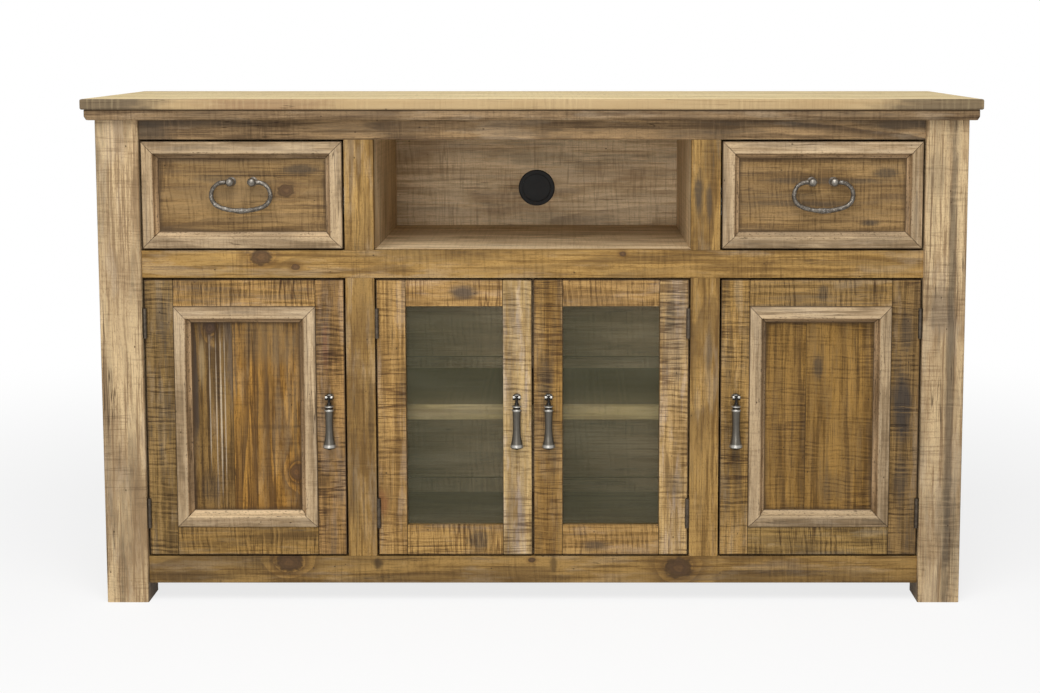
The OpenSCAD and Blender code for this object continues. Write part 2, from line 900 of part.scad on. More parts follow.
module hinge_bore(low, high) {
  translate([-axis_off, axis_y, low - cut]) cylinder(r = hinge_pin_r + running, h = high - low + 2 * cut);
}

knuckle_h = (hinge_h - 2 * knuckle_gap) / 3;
leaf_start = face + leaf_set;

// The frame's half of a hinge, on a face at x = 0 with the wood to its right
module frame_hinge() {
  half = hinge_h / 2;
  post_clear = 0.4;
  difference() {
    union() {
      block([-leaf_t, leaf_start, -half], [0, face + leaf_d, half]);
      for (low = [-half, half - knuckle_h]) {
        knuckle(low, low + knuckle_h);
        block([-leaf_t, axis_y, low], [-post_clear, leaf_start + cut, low + knuckle_h]);
      }
    }
    hinge_bore(-half, half);
  }
  translate([-axis_off, axis_y, -half]) cylinder(r = hinge_pin_r, h = hinge_h);
}

module frame_hinges() {
  color(pewter) both_sides() for (x = [post_in, centre_in], z = hinge_zs)
    translate([x, 0, z]) frame_hinge();
}

// The door's half: its leaf lies on the door's edge
module door_hinge() {
  half = hinge_h / 2;
  low = knuckle_h / 2;
  edge = -door_gap;
  difference() {
    union() {
      block([edge, leaf_start, -half], [edge + leaf_t, face + leaf_d, half]);
      knuckle(-low, low);
      block([edge, axis_y, -low], [edge + leaf_t, leaf_start + cut, low]);
    }
    hinge_bore(-half, half);
  }
}

module right_door_hinges() {
  color(pewter) for (z = hinge_zs) translate([post_in, 0, z]) door_hinge();
}

module left_door_hinges() {
  left() right_door_hinges();
}

module right_glass_hinges() {
  color(pewter) for (z = hinge_zs) translate([centre_in, 0, z]) door_hinge();
}

module left_glass_hinges() {
  left() right_glass_hinges();
}

// Magnetic catches on the back of the middle rail: one for each door, near its free edge
module door_catches() {
  catch_w = 40;
  catch_t = 15;
  catch_drop = 14;
  catch_h = 34;
  color(brown_wood) both_sides() for (x = [glass_in + 3, drawer_in + 10])
    block([x, rail_back, lower_top - catch_drop], [x + catch_w, rail_back + catch_t, lower_top - catch_drop + catch_h]);
}

// Drop pulls

// A clevis on a short post, round a pivot at the origin, with the door's face at y = reach
module pull_post_shape() {
  reach = face - drop_axis_y;
  arm_half = 3;
  boss_r = 7.4;
  boss_t = 4.5;
  rose_r = 9.5;
  rose_front_r = 8;
  rose_t = 1.8;
  difference() {
    union() {
      both_sides() {
        translate([ear_in, 0, 0]) rotate([0, 90, 0]) cylinder(r = ear_r, h = ear_out - ear_in);
        block([ear_in, 0, -arm_half], [ear_out, reach - boss_t + cut, arm_half]);
      }
      translate([0, reach, 0]) rotate([90, 0, 0]) {
        cylinder(r = boss_r, h = boss_t);
        cylinder(r1 = rose_r, r2 = rose_front_r, h = rose_t);
      }
    }
    rotate([0, 90, 0]) cylinder(r = drop_pin_r + running, h = 2 * ear_out + cut, center = true);
  }
  rotate([0, 90, 0]) cylinder(r = drop_pin_r, h = 2 * ear_out, center = true);
}

// Half of the drop's outline: radius and distance below the pivot, in the order that it is turned
function drop_outline() =
  let (
    neck_top = ear_r + 0.6, neck_r = 4.6, neck_ease = 0.6,
    bead1 = 15, bead2 = 22.5, bead_r = 8.3, bead_h = 4.5, bead_x = bead_r - bead_h / 2,
    shaft_top = bead2 + bead_h / 2, shoulder = 1.1, rim = drop_l - 6, waist_r = drop_r - 5.6, steps = 12,
    rim_edge = [drop_r - 0.2, rim + 1], end_edge = [drop_r - 1.6, rim + 2.2], tip = [3, drop_l - 0.7]
  )
  concat(
    [[0, neck_top], [neck_r - neck_ease, neck_top], [neck_r, neck_top + neck_ease], [neck_r, bead1 - bead_h / 2]],
    arc(bead_x, bead1, bead_h / 2, -90, 90, 6),
    arc(bead_x, bead2, bead_h / 2, -90, 90, 6),
    [for (i = [0 : steps]) let (f = i / steps)
      [waist_r + shoulder * pow(1 - f, 3) + (drop_r - waist_r) * pow(f, 4), shaft_top + (rim - shaft_top) * f]],
    [rim_edge, end_edge, tip, [0, drop_l]]
  );

// The drop hangs from a tongue between the two ears
module pull_drop_shape() {
  tongue = ear_in - 0.2;
  tongue_r = ear_r - 0.2;
  tongue_half = 3.4;
  difference() {
    union() {
      rotate([180, 0, 0]) rotate_extrude() polygon(drop_outline());
      rotate([0, 90, 0]) cylinder(r = tongue_r, h = 2 * tongue, center = true);
      block([-tongue, -tongue_half, -ear_r - cut], [tongue, tongue_half, 0]);
    }
    rotate([0, 90, 0]) cylinder(r = drop_pin_r + running, h = 2 * ear_out, center = true);
  }
}

module at_door_pull() {
  translate([drawer_in + pull_inset, drop_axis_y, drop_z]) children();
}

module at_glass_pull() {
  translate([glass_in + pull_inset, drop_axis_y, drop_z]) children();
}

module right_door_pull_post() {
  color(pewter) at_door_pull() pull_post_shape();
}

module left_door_pull_post() {
  left() right_door_pull_post();
}

module right_door_pull() {
  color(pewter) at_door_pull() pull_drop_shape();
}

module left_door_pull() {
  left() right_door_pull();
}

module right_glass_pull_post() {
  color(pewter) at_glass_pull() pull_post_shape();
}

module left_glass_pull_post() {
  left() right_glass_pull_post();
}

module right_glass_pull() {
  color(pewter) at_glass_pull() pull_drop_shape();
}

module left_glass_pull() {
  left() right_glass_pull();
}

// Cable grommet

flange_t = 2.5;
liner_wall = 2;
liner_in = grommet_hole_r - play - liner_wall;

module at_grommet() {
  translate([0, back_face, upper_low + grommet_rise]) rotate([90, 0, 0]) children();
}

// A flange on the niche's back wall and a tube through it
module grommet_liner() {
  color(black_plastic) at_grommet() rotate_extrude() polygon([
    [liner_in, -back_t], [liner_in + liner_wall, -back_t], [liner_in + liner_wall, 0], [flange_r, 0],
    [flange_r, flange_t * 0.5], [flange_r - 1.5, flange_t], [liner_in, flange_t]
  ]);
}

// The cap turns in the liner; a thin web closes its arched slot until cables need it
module grommet_cap() {
  web_t = 1;
  slot_w = 24;
  slot_low = 4 - liner_in;
  slot_side_h = 4;
  slot_mid = 2 - liner_in;
  rim_w = 1.6;
  rim_back = -4;
  bevel = 2;
  r = liner_in - running;
  top = flange_t + 0.6;
  color(black_plastic) at_grommet() difference() {
    rotate_extrude() polygon([
      [0, 0], [r - rim_w, 0], [r - rim_w, rim_back], [r, rim_back], [r, flange_t], [r - bevel, top], [0, top]
    ]);
    translate([0, 0, web_t]) linear_extrude(top) {
      translate([-slot_w / 2, slot_low]) square([slot_w, slot_side_h]);
      intersection() {
        translate([0, slot_mid]) circle(r = slot_w / 2);
        translate([-slot_w / 2, slot_low + slot_side_h]) square([slot_w, slot_w]);
      }
    }
  }
}

top_board();
top_underlay();
front_posts();
rear_posts();
top_rail();
middle_rail();
bottom_rail();
face_stiles();
side_rails();
side_panels();
partitions();
niche_floor();
cabinet_floor();
back_boards();
grommet_liner();
shelves();
shelf_pins();
slide_cleats();
slide_cabinet_members();
frame_hinges();
door_catches();
grommet_cap();
left_drawer_front();
left_drawer_moulding();
left_drawer_box();
left_slide_drawer_members();
left_slide_middle_members();
left_bail_posts();
left_bail();
right_drawer_front();
right_drawer_moulding();
right_drawer_box();
right_slide_drawer_members();
right_slide_middle_members();
right_bail_posts();
right_bail();
left_door_frame();
left_door_panel();
left_door_moulding();
left_door_hinges();
left_door_pull_post();
left_door_pull();
right_door_frame();
right_door_panel();
right_door_moulding();
right_door_hinges();
right_door_pull_post();
right_door_pull();
left_glass_frame();
left_glass();
left_glass_beads();
left_glass_hinges();
left_glass_pull_post();
left_glass_pull();
right_glass_frame();
right_glass();
right_glass_beads();
right_glass_hinges();
right_glass_pull_post();
right_glass_pull();
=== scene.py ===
# %% [markdown]
# # A rustic pine TV stand
# The stand comes packed from its CAD model: sixty named nodes on a cabinet and fifteen moving bodies.
# This lesson gives it its looks. Each step says what a piece or finish is on the real stand, how it
# could be made in Blender, and why it is made the way it is.
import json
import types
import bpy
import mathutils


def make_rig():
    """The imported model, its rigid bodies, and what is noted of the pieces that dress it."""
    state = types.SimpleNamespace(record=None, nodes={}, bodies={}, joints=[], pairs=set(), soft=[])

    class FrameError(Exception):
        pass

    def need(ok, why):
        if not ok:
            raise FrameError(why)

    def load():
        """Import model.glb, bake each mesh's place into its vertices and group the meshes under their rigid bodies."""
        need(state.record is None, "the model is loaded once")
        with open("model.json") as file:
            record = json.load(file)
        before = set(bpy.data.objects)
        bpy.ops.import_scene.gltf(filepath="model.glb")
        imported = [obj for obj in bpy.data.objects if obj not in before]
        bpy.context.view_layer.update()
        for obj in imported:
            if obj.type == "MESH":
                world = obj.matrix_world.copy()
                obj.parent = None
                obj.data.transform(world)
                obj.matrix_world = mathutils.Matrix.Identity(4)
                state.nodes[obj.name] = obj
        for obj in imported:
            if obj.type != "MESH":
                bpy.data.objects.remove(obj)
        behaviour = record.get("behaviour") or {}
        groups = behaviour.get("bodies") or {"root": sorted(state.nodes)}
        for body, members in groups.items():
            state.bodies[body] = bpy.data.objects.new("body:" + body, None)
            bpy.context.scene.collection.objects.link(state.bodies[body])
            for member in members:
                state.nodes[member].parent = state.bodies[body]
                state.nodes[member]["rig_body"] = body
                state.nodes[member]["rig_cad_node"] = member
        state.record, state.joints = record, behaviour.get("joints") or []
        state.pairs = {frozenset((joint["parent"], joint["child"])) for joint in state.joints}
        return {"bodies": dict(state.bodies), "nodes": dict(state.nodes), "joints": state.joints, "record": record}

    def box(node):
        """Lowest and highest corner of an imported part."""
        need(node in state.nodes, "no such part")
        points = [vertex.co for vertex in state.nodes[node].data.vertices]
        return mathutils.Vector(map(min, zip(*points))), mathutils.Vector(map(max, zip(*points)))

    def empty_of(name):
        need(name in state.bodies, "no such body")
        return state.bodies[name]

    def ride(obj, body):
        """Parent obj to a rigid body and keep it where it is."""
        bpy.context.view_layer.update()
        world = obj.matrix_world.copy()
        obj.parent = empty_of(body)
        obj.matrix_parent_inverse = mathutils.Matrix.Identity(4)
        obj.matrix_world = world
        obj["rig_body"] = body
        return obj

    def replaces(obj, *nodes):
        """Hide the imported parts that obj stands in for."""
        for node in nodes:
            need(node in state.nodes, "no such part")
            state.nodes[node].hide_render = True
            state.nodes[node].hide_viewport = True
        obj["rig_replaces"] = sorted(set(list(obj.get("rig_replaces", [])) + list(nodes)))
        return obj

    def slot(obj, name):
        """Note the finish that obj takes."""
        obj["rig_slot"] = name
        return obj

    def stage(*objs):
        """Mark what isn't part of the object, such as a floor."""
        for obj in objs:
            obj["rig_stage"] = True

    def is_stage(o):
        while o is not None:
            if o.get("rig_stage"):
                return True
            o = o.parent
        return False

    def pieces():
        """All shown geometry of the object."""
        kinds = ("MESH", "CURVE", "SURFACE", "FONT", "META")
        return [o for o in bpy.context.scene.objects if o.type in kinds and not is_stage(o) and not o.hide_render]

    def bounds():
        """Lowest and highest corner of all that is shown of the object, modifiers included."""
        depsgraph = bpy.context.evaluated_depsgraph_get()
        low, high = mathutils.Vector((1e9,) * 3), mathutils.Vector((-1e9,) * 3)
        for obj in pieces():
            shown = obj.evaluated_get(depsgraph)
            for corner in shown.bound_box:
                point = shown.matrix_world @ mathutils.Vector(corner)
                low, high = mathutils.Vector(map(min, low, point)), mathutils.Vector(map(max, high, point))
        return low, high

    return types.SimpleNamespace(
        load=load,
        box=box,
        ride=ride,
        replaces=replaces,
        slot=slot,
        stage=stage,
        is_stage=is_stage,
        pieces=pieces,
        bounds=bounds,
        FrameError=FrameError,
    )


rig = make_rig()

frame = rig.load()
cad_box = [list(corner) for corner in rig.bounds()]
print("nodes", len(frame["nodes"]), "box", [[round(v, 4) for v in corner] for corner in cad_box])

# %% Tools that the whole lesson uses
import json
import math
import os

import bpy
from mathutils import Vector

MM = 0.001
os.makedirs(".", exist_ok=True)

# %% [markdown]
# ## Camera
# The photograph was taken square to the front with the camera a little above the top, so the uprights
# stay upright and only a sliver of the top shows. A view camera does this by sliding its lens, and
# Blender's camera does it with a shift. The shift is kept small, so that the stand stays in the picture
# from other sides too, and a slight downward tilt makes up the rest.

# %% Make the camera
camera_place = (0.0616, -3.213, 0.980)
tilt_down = 6.005
bpy.ops.object.select_all(action="DESELECT")
bpy.ops.object.camera_add(location=camera_place, rotation=(math.radians(90 - tilt_down), 0, 0))
camera = bpy.context.object
camera.name = "camera"
camera.data.lens = 61.24
camera.data.sensor_width = 36
camera.data.shift_x = -0.0465
camera.data.shift_y = -0.1175
camera.data.clip_start = 0.05
bpy.context.scene.camera = camera
print("camera at", [round(v, 3) for v in camera.location], "lens", camera.data.lens)

# %% [markdown]
# ## Shader maths
# A wood finish is a long calculation. Node by node it is hard to read, so a small class wraps a socket
# and lets Python's own operators add the Math nodes: grain * 0.4 + 0.1 becomes two nodes. Any other
# node comes from one method that takes the node's type, its settings and its inputs.


# %% A socket that can be calculated with
class Value:
    """One output in a node tree."""

    def __init__(self, nodes, link):
        self.nodes = nodes
        self.link = link

    def math(self, operation, *others):
        inputs = dict(enumerate((self, *others)))
        return self.nodes.add("ShaderNodeMath", {"operation": operation}, inputs)

    def reverse_math(self, operation, other):
        return self.nodes.add("ShaderNodeMath", {"operation": operation}, {0: other, 1: self})

    def __abs__(self):
        return self.math("ABSOLUTE")

    def __add__(self, other):
        return self.math("ADD", other)

    def __radd__(self, other):
        return self.reverse_math("ADD", other)

    def __sub__(self, other):
        return self.math("SUBTRACT", other)

    def __rsub__(self, other):
        return self.reverse_math("SUBTRACT", other)

    def __mul__(self, other):
        return self.math("MULTIPLY", other)

    def __rmul__(self, other):
        return self.reverse_math("MULTIPLY", other)

    def __truediv__(self, other):
        return self.math("DIVIDE", other)

    def __rtruediv__(self, other):
        return self.reverse_math("DIVIDE", other)

    def __pow__(self, other):
        return self.math("POWER", other)

    def __gt__(self, other):
        return self.math("GREATER_THAN", other)

    def __lt__(self, other):
        return self.math("LESS_THAN", other)

    def rise(self, start, end):
        """0 before start, 1 after end, and a smooth step between; start may be the larger."""
        at_low, at_high = (0.0, 1.0) if start < end else (1.0, 0.0)
        inputs = {0: self, 1: min(start, end), 2: max(start, end), 3: at_low, 4: at_high}
        return self.nodes.add("ShaderNodeMapRange", {"interpolation_type": "SMOOTHSTEP"}, inputs)


# %% A node tree that grows by expressions
class Nodes:
    """A node tree, whose nodes all come from its add method."""

    def __init__(self, tree):
        self.tree = tree
        self.tree.nodes.clear()

    def add(self, kind, settings=None, values=None, output=0):
        """Returns the output with that number, a list for several numbers, or nothing for None."""
        node = self.tree.nodes.new(kind)
        for key, value in (settings or {}).items():
            setattr(node, key, value)
        for key, value in (values or {}).items():
            if isinstance(value, Value):
                self.tree.links.new(value.link, node.inputs[key])
            else:
                node.inputs[key].default_value = value
        if output is None:
            return None
        if isinstance(output, tuple):
            return [Value(self, node.outputs[i]) for i in output]
        return Value(self, node.outputs[output])


def opaque(colour):
    """A colour of three numbers gets its alpha; a socket stays as it is."""
    return (*colour, 1.0) if isinstance(colour, tuple) and len(colour) == 3 else colour


# %% A finish under construction
class Finish(Nodes):
    """A material, with a point's place on the object as x, y and z."""

    def __init__(self, name):
        self.material = bpy.data.materials.new(name)
        self.material.use_nodes = True
        super().__init__(self.material.node_tree)
        self.place = self.add("ShaderNodeTexCoord", output="Object")
        axes = self.add("ShaderNodeSeparateXYZ", values={0: self.place}, output=(0, 1, 2))
        self.x, self.y, self.z = axes

    def vector(self, x, y, z):
        return self.add("ShaderNodeCombineXYZ", values={0: x, 1: y, 2: z})

    def noise(self, at, scale=1.0, detail=2.0, roughness=0.5):
        inputs = {"Vector": at, "Scale": scale, "Detail": detail, "Roughness": roughness}
        return self.add("ShaderNodeTexNoise", {"noise_dimensions": "3D"}, inputs)

    def cells(self, at, scale=1.0):
        """How far the nearest of many scattered points is, and that point's own colour."""
        inputs = {"Vector": at, "Scale": scale}
        return self.add("ShaderNodeTexVoronoi", {"feature": "F1"}, inputs, output=(0, 1))

    def mix(self, factor, below, above, blend="MIX"):
        """Inputs 6 and 7 of a Mix node are its two colours, and output 2 is the mixed one."""
        settings = {"data_type": "RGBA", "blend_type": blend, "clamp_factor": True}
        inputs = {0: factor, 6: opaque(below), 7: opaque(above)}
        return self.add("ShaderNodeMix", settings, inputs, output=2)

    def show(self, shader):
        self.add("ShaderNodeOutputMaterial", values={"Surface": shader}, output=None)

    def finish(self, colour, roughness, height=None, **sockets):
        """Feeds a Principled shader: what varies is linked, and a constant is set on its own socket."""
        inputs = {"Base Color": opaque(colour), "Roughness": roughness}
        if height is not None:
            bump = {"Height": height, "Distance": MM, "Strength": 1.0}
            inputs["Normal"] = self.add("ShaderNodeBump", values=bump)
        inputs.update({key.replace("_", " "): value for key, value in sockets.items()})
        self.show(self.add("ShaderNodeBsdfPrincipled", values=inputs))
        return self.material


# %% [markdown]
# ## How boards lie
# One node may hold several boards, such as the four members of a door frame. Each board's grain runs
# along its own length, so every finish first needs to know where a point lies along its board, across
# it and into it, and which board it is. Each layout below works that out from the object coordinates,
# together with a thin dark line where two boards meet.

# %% Lines and choices
JOINT = 0.6 * MM


def line(value, at, width=JOINT):
    """1 on a line and 0 beside it."""
    return abs(value - at).rise(width, width * 0.3)


def either(a, b):
    return a.math("MAXIMUM", b)


def swap(mask, off, on):
    """The first value where the mask is 0 and the second where it is 1."""
    return off + mask * (on - off)


# %% Boards that run one way
class Lay:
    """Where a point lies on its board, the board's number, the joint lines and a mask for each member.

    A moulding also has inset, how far in from its outer edge, and a door has edge, how far its end is.
    """

    def __init__(self, along, across, deep, number=0.0, joint=None, members=(), inset=None, edge=None):
        self.along = along
        self.across = across
        self.deep = deep
        self.number = number
        self.joint = joint
        self.members = members
        self.inset = inset
        self.edge = edge


def straight(f, grain, number=0.0):
    """Boards that all run one way."""
    if grain == "x":
        return Lay(f.x, f.z, f.y, number)
    if grain == "y":
        return Lay(f.y, f.z, f.x, number)
    return Lay(f.z, f.x, f.y, number)


def planks(f, grain, across, joints, gap=JOINT):
    """Boards side by side with joints at the given places across them."""
    place = getattr(f, across)
    number = 0.0
    joint = 0.0
    for at in joints:
        number = (place > at) + number
        joint = either(line(place, at, gap), joint)
    third = {"x", "y", "z"} - {grain, across}
    members = [place < joints[0], place > joints[0]]
    return Lay(getattr(f, grain), place, getattr(f, third.pop()), number, joint, members)


# %% An open box
BOX_WALL = 0.014


def boxed(f, node):
    """Its sides run front to back, and its other boards and its bottom from side to side."""
    low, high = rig.box(node)
    end = abs(f.y - (low[1] + high[1]) / 2) > (high[1] - low[1]) / 2 - BOX_WALL
    side = abs(f.x - (low[0] + high[0]) / 2) > (high[0] - low[0]) / 2 - BOX_WALL
    sideways = either(end, 1.0 - side)
    bottom = sideways * (1.0 - end)
    number = sideways * 2.0 + bottom
    return Lay(swap(sideways, f.y, f.x), swap(bottom, f.z, f.y), swap(sideways, f.x, f.z + f.y), number)


# %% Frames of four members
def frame_members(upright, sideways, upward):
    """Each member's number, and the masks of the left, right, upper and lower one."""
    number = swap(upright, 3.0 + (upward > 0.0), 1.0 + (sideways > 0.0))
    members = [upright * (sideways < 0.0), upright * (sideways > 0.0),
               (1.0 - upright) * (upward > 0.0), (1.0 - upright) * (upward < 0.0)]
    return number, members


def butted(f, middle, half, stile):
    """A frame in the front's plane: two stiles at full height and two rails between them."""
    sideways = f.x - middle[0]
    upward = f.z - middle[1]
    reach = abs(sideways)
    upright = reach > half[0] - stile
    number, members = frame_members(upright, sideways, upward)
    joint = line(reach, half[0] - stile, JOINT * 1.2)
    edge = (half[0] - reach).math("MINIMUM", half[1] - abs(upward))
    return Lay(swap(upright, f.x, f.z), swap(upright, f.z, f.x), f.y, number, joint, members, edge=edge)


def mitred(f, middle, half, plane="xz"):
    """A frame whose four sides meet on the diagonals."""
    other, deep = (f.z, f.y) if plane == "xz" else (f.y, f.z)
    sideways = f.x - middle[0]
    upward = other - middle[1]
    slant = (abs(upward) - half[1]) - (abs(sideways) - half[0])
    upright = slant < 0.0
    number, members = frame_members(upright, sideways, upward)
    joint = line(slant, 0.0, JOINT * 1.4)
    inset = swap(upright, half[1] - abs(upward), half[0] - abs(sideways))
    along = swap(upright, f.x, other)
    return Lay(along, swap(upright, other, f.x), deep, number, joint, members, inset=inset)


# %% [markdown]
# ## Rustic pine
# The stand is knotty pine that was sawn rough, stained, wiped and waxed. Five things make its surface:
# growth rings that open into arches, fine fibres, saw marks square to the grain that hold dark stain,
# smoky patches, and knots that the rings flow round. An image would tile and blur, so each of these is
# calculated in three dimensions and goes right through the board, on its edges and ends as well.

# %% Wood colours
PALE = dict(light=(0.60, 0.44, 0.245), body=(0.43, 0.295, 0.155), dark=(0.21, 0.133, 0.066))
HONEY = dict(light=(0.45, 0.27, 0.082), body=(0.31, 0.173, 0.044), dark=(0.12, 0.062, 0.015))
BROWN = dict(light=(0.38, 0.228, 0.074), body=(0.24, 0.138, 0.037), dark=(0.08, 0.043, 0.012))
AMBER = dict(light=(0.38, 0.212, 0.052), body=(0.25, 0.130, 0.024), dark=(0.08, 0.039, 0.008))
TRIM = dict(light=(0.55, 0.40, 0.235), body=(0.38, 0.265, 0.145), dark=(0.17, 0.112, 0.057))
SMOKE = (0.056, 0.042, 0.029)
# This dark brown is real stain in cracks, holes and knots. It is also the colour of painted shade in gaps, panel
# borders, moulding edges, the seam under the top and on the posts' inner faces.
STAIN_AND_SHADE = (0.045, 0.024, 0.010)
KNOT = (0.080, 0.042, 0.019)
KNOT_PALE = (0.17, 0.088, 0.034)
BLEACH = (0.60, 0.48, 0.33)


# %% Wood under construction
class Wood(Finish):
    """A finish of pine: how its boards lie, the wood that each is cut from, and the colour so far."""

    def __init__(self, name, lay_boards, colours, seed):
        super().__init__(name)
        self.lay = lay_boards(self)
        self.colours = colours
        self.colour = colours["body"]
        self.seed = seed
        own = self.lay.number * 3.37 + seed
        self.along = self.lay.along + own
        self.across = self.lay.across + own * 0.61
        self.deep = self.lay.deep + own * 0.29

    def grain(self, along, across, shift=0.0, **detail):
        """Noise drawn out along the board: its scale along the grain and its scale across it."""
        deep = self.deep * across
        if shift:
            deep = deep + shift
        return self.noise(self.vector(self.along * along, self.across * across, deep), **detail)

    def paint(self, mask, colour):
        """Covers the colour so far where the mask is 1."""
        self.colour = self.mix(mask, self.colour, colour)

    def stain(self, mask, share):
        """Leaves only a share of the red, green and blue so far where the mask is 1."""
        self.paint(mask, self.mix(1.0, self.colour, share, "MULTIPLY"))


# %% [markdown]
# Rings are layers of a slow noise, counted with FRACT: wherever the noise grows by one ring's pitch, a
# ring is drawn. A knot is a hill in that noise, so the rings bend round it as they do round a branch.


# %% Growth rings
def grow_rings(wood, pitch, knots):
    """Each knot is its place along the board, its place across it, and its radius."""
    lay = wood.lay
    field = wood.grain(1.1, 7.0, detail=1.0, roughness=0.4) * (0.045 / pitch)
    field = field + wood.across * (0.12 / pitch)
    field = field + wood.grain(9.0, 40.0, detail=3.0) * 0.7
    wood.core = 0.0
    wood.halo = 0.0
    wood.swirl = 0.0
    for knot_along, knot_across, radius in knots:
        drawn_out = (lay.along - knot_along) / 1.35
        away = (drawn_out ** 2.0 + (lay.across - knot_across) ** 2.0).math("SQRT") / radius
        field = field + (away * away * -0.45).math("EXPONENT") * (radius * 1.1 / pitch)
        ragged_at = wood.vector(lay.along * 80.0, lay.across * 130.0, lay.deep * 60.0)
        away = away + (wood.noise(ragged_at, detail=4.0) - 0.5) * 1.1
        wood.core = either(away.rise(1.20, 0.60), wood.core)
        wood.halo = either(away.rise(2.9, 0.8), wood.halo)
        wood.swirl = either(((away * 9.0).math("SINE") * 0.5 + 0.5) * away.rise(1.6, 0.8), wood.swirl)
    phase = field.math("FRACT")
    late = phase.rise(0.15, 0.88) * phase.rise(1.0, 0.90)
    bold = wood.grain(2.2, 13.0, detail=1.0).rise(0.36, 0.58)
    wood.late = late * (0.25 + bold * 0.75)


# %% Fibres
def grow_fibres(wood, rings, fibres, bleach):
    """Streaks a few millimetres wide, single threads, a fine grit and soft clouds."""
    light, dark = wood.colours["light"], wood.colours["dark"]
    wood.streak = wood.grain(4.5, 150.0, detail=4.0, roughness=0.68)
    wood.thread = wood.grain(18.0, 520.0, detail=3.0, roughness=0.7)
    wood.grit = wood.grain(210.0, 420.0, detail=3.0, roughness=0.7)
    wood.cloud = wood.grain(5.5, 17.0, detail=4.0, roughness=0.65)
    wood.tone = wood.cloud * 0.45 + wood.streak * 0.40 + wood.grit * 0.15
    wood.paint(wood.tone.rise(0.43, 0.57), light)
    wood.paint(wood.cloud.rise(0.48, 0.33) * 0.55, dark)
    wood.paint(wood.late * rings, dark)
    wood.paint(wood.streak.rise(0.50, 0.39) * fibres, dark)
    wood.paint(wood.streak.rise(0.55, 0.70) * fibres * 0.5, light)
    wood.paint(wood.thread.rise(0.49, 0.33) * fibres * 0.9, dark)
    wood.paint(wood.grit.rise(0.47, 0.30) * fibres * 0.6, dark)
    pale_cloud = wood.grain(6.0, 34.0, 4.0, detail=4.0, roughness=0.65)
    wood.paint(pale_cloud.rise(0.50, 0.64) * (0.3 + wood.grit * 1.2) * bleach, BLEACH)


# %% [markdown]
# Smoke and stain come next, as on the real boards. Most of it falls where the grain is open, by itself.
# The few patches that give a board its face are put in chosen places, with a ragged edge. Some of them
# are painted shade: the slab's front edge, the posts' inner faces near the floor and the shelves' tops.


# %% Smoke and stain
def spot(wood, along, across, length, width):
    """A soft patch with a ragged edge, 1 in its middle."""
    lay = wood.lay
    away = (((lay.along - along) / length) ** 2.0 + ((lay.across - across) / width) ** 2.0).math("SQRT")
    ragged = wood.noise(wood.vector(lay.along * 30.0, lay.across * 110.0, lay.deep * 110.0), detail=4.0)
    return (away + (ragged - 0.5) * 0.9).rise(1.15, 0.35)


def tell_boards_apart(wood, boards):
    """Gives each board its own tone."""
    own_tone = wood.noise(wood.vector(wood.lay.number * 7.31 + wood.seed, 0.37, 0.71))
    wood.stain(own_tone.rise(0.36, 0.60) * boards, (0.62, 0.58, 0.55))


def smoke_boards(wood, smoke, patches):
    """Each patch is its place along and across, its half length and half width, its colour and strength."""
    smoky = wood.grain(4.2, 26.0, 9.0, detail=4.0, roughness=0.62)
    smoky = smoky + (wood.streak - 0.5) * 0.8 + (wood.thread - 0.5) * 0.5 + (wood.grit - 0.5) * 0.3
    wood.paint(smoky.rise(0.50, 0.74) * smoke, SMOKE)
    for along, across, length, width, colour, strength in patches:
        mask = spot(wood, along, across, length, width) * (0.45 + wood.thread * 0.6 + wood.streak * 0.5)
        wood.paint(mask.math("MINIMUM", 1.0) * strength, colour)


# %% Cracks, worm holes and knots
def dry_cracks(wood, cracks):
    """Hair-thin dark lines along the grain, in some places only."""
    bend = wood.grain(2.4, 95.0, 2.0, detail=2.0)
    where = wood.grain(5.0, 22.0, 7.0, detail=1.0)
    wood.crack = abs(bend - 0.5).rise(0.011, 0.002) * where.rise(0.50, 0.60) * cracks
    wood.paint(wood.crack, STAIN_AND_SHADE)


def worm_holes(wood, specks):
    place = wood.vector(wood.along * 55.0, wood.across * 95.0, wood.deep * 95.0)
    near, cell = wood.cells(place)
    chance = wood.add("ShaderNodeSeparateColor", values={0: cell})
    wood.holes = near.rise(0.13, 0.06) * (chance > (1.0 - specks * 0.35))
    wood.paint(wood.holes * 0.85, STAIN_AND_SHADE)


def colour_knots(wood):
    """A dark halo, a swirl of two browns, and a ring of stain round it."""
    wood.stain(wood.halo * 0.50, (0.60, 0.50, 0.42))
    wood.paint(wood.core * 0.88, wood.mix(wood.swirl * (0.1 + wood.grit * 0.8), KNOT, KNOT_PALE))
    wood.paint(wood.core * (1.0 - wood.core) * 2.6, STAIN_AND_SHADE)


# %% [markdown]
# A band saw leaves ridges and hollows square to the grain. Sanding takes the ridges' tops off and stain
# stays in the hollows. A sine wave along the board gives them, its phase shifted by noise so that they
# wander, and other noises break it into dashes. A few cuts went deeper and left thin dark lines.


# %% Saw marks
def saw_chatter(wood, pitch, patchiness, shift, dash):
    """Ridges and hollows from -1 to 1, broken into dashes, some strong and some faint."""
    lay = wood.lay
    wander = wood.noise(wood.vector(lay.along * 11.0, lay.across * 12.0, lay.number * 2.3 + shift))
    step = (lay.along + (wander - 0.5) * 0.016 + lay.across * 0.04) / pitch
    own = wood.noise(wood.vector(step * 0.8, lay.across * 5.0, lay.number * 3.1 + shift))
    wave = (step * (2 * math.pi) + own * 7.0).math("SINE")
    frayed_at = wood.vector(lay.along * 420.0, lay.across * dash, lay.deep * dash + shift)
    frayed = wood.noise(frayed_at, detail=4.0, roughness=0.7)
    patch = wood.noise(wood.vector(lay.along * 6.0, lay.across * 15.0, lay.number * 5.7 + shift))
    reach = own.rise(0.30, 0.62) * frayed.rise(0.34, 0.62)
    return wave * reach * patch.rise(0.60 - 0.42 * patchiness, 0.70 - 0.32 * patchiness)


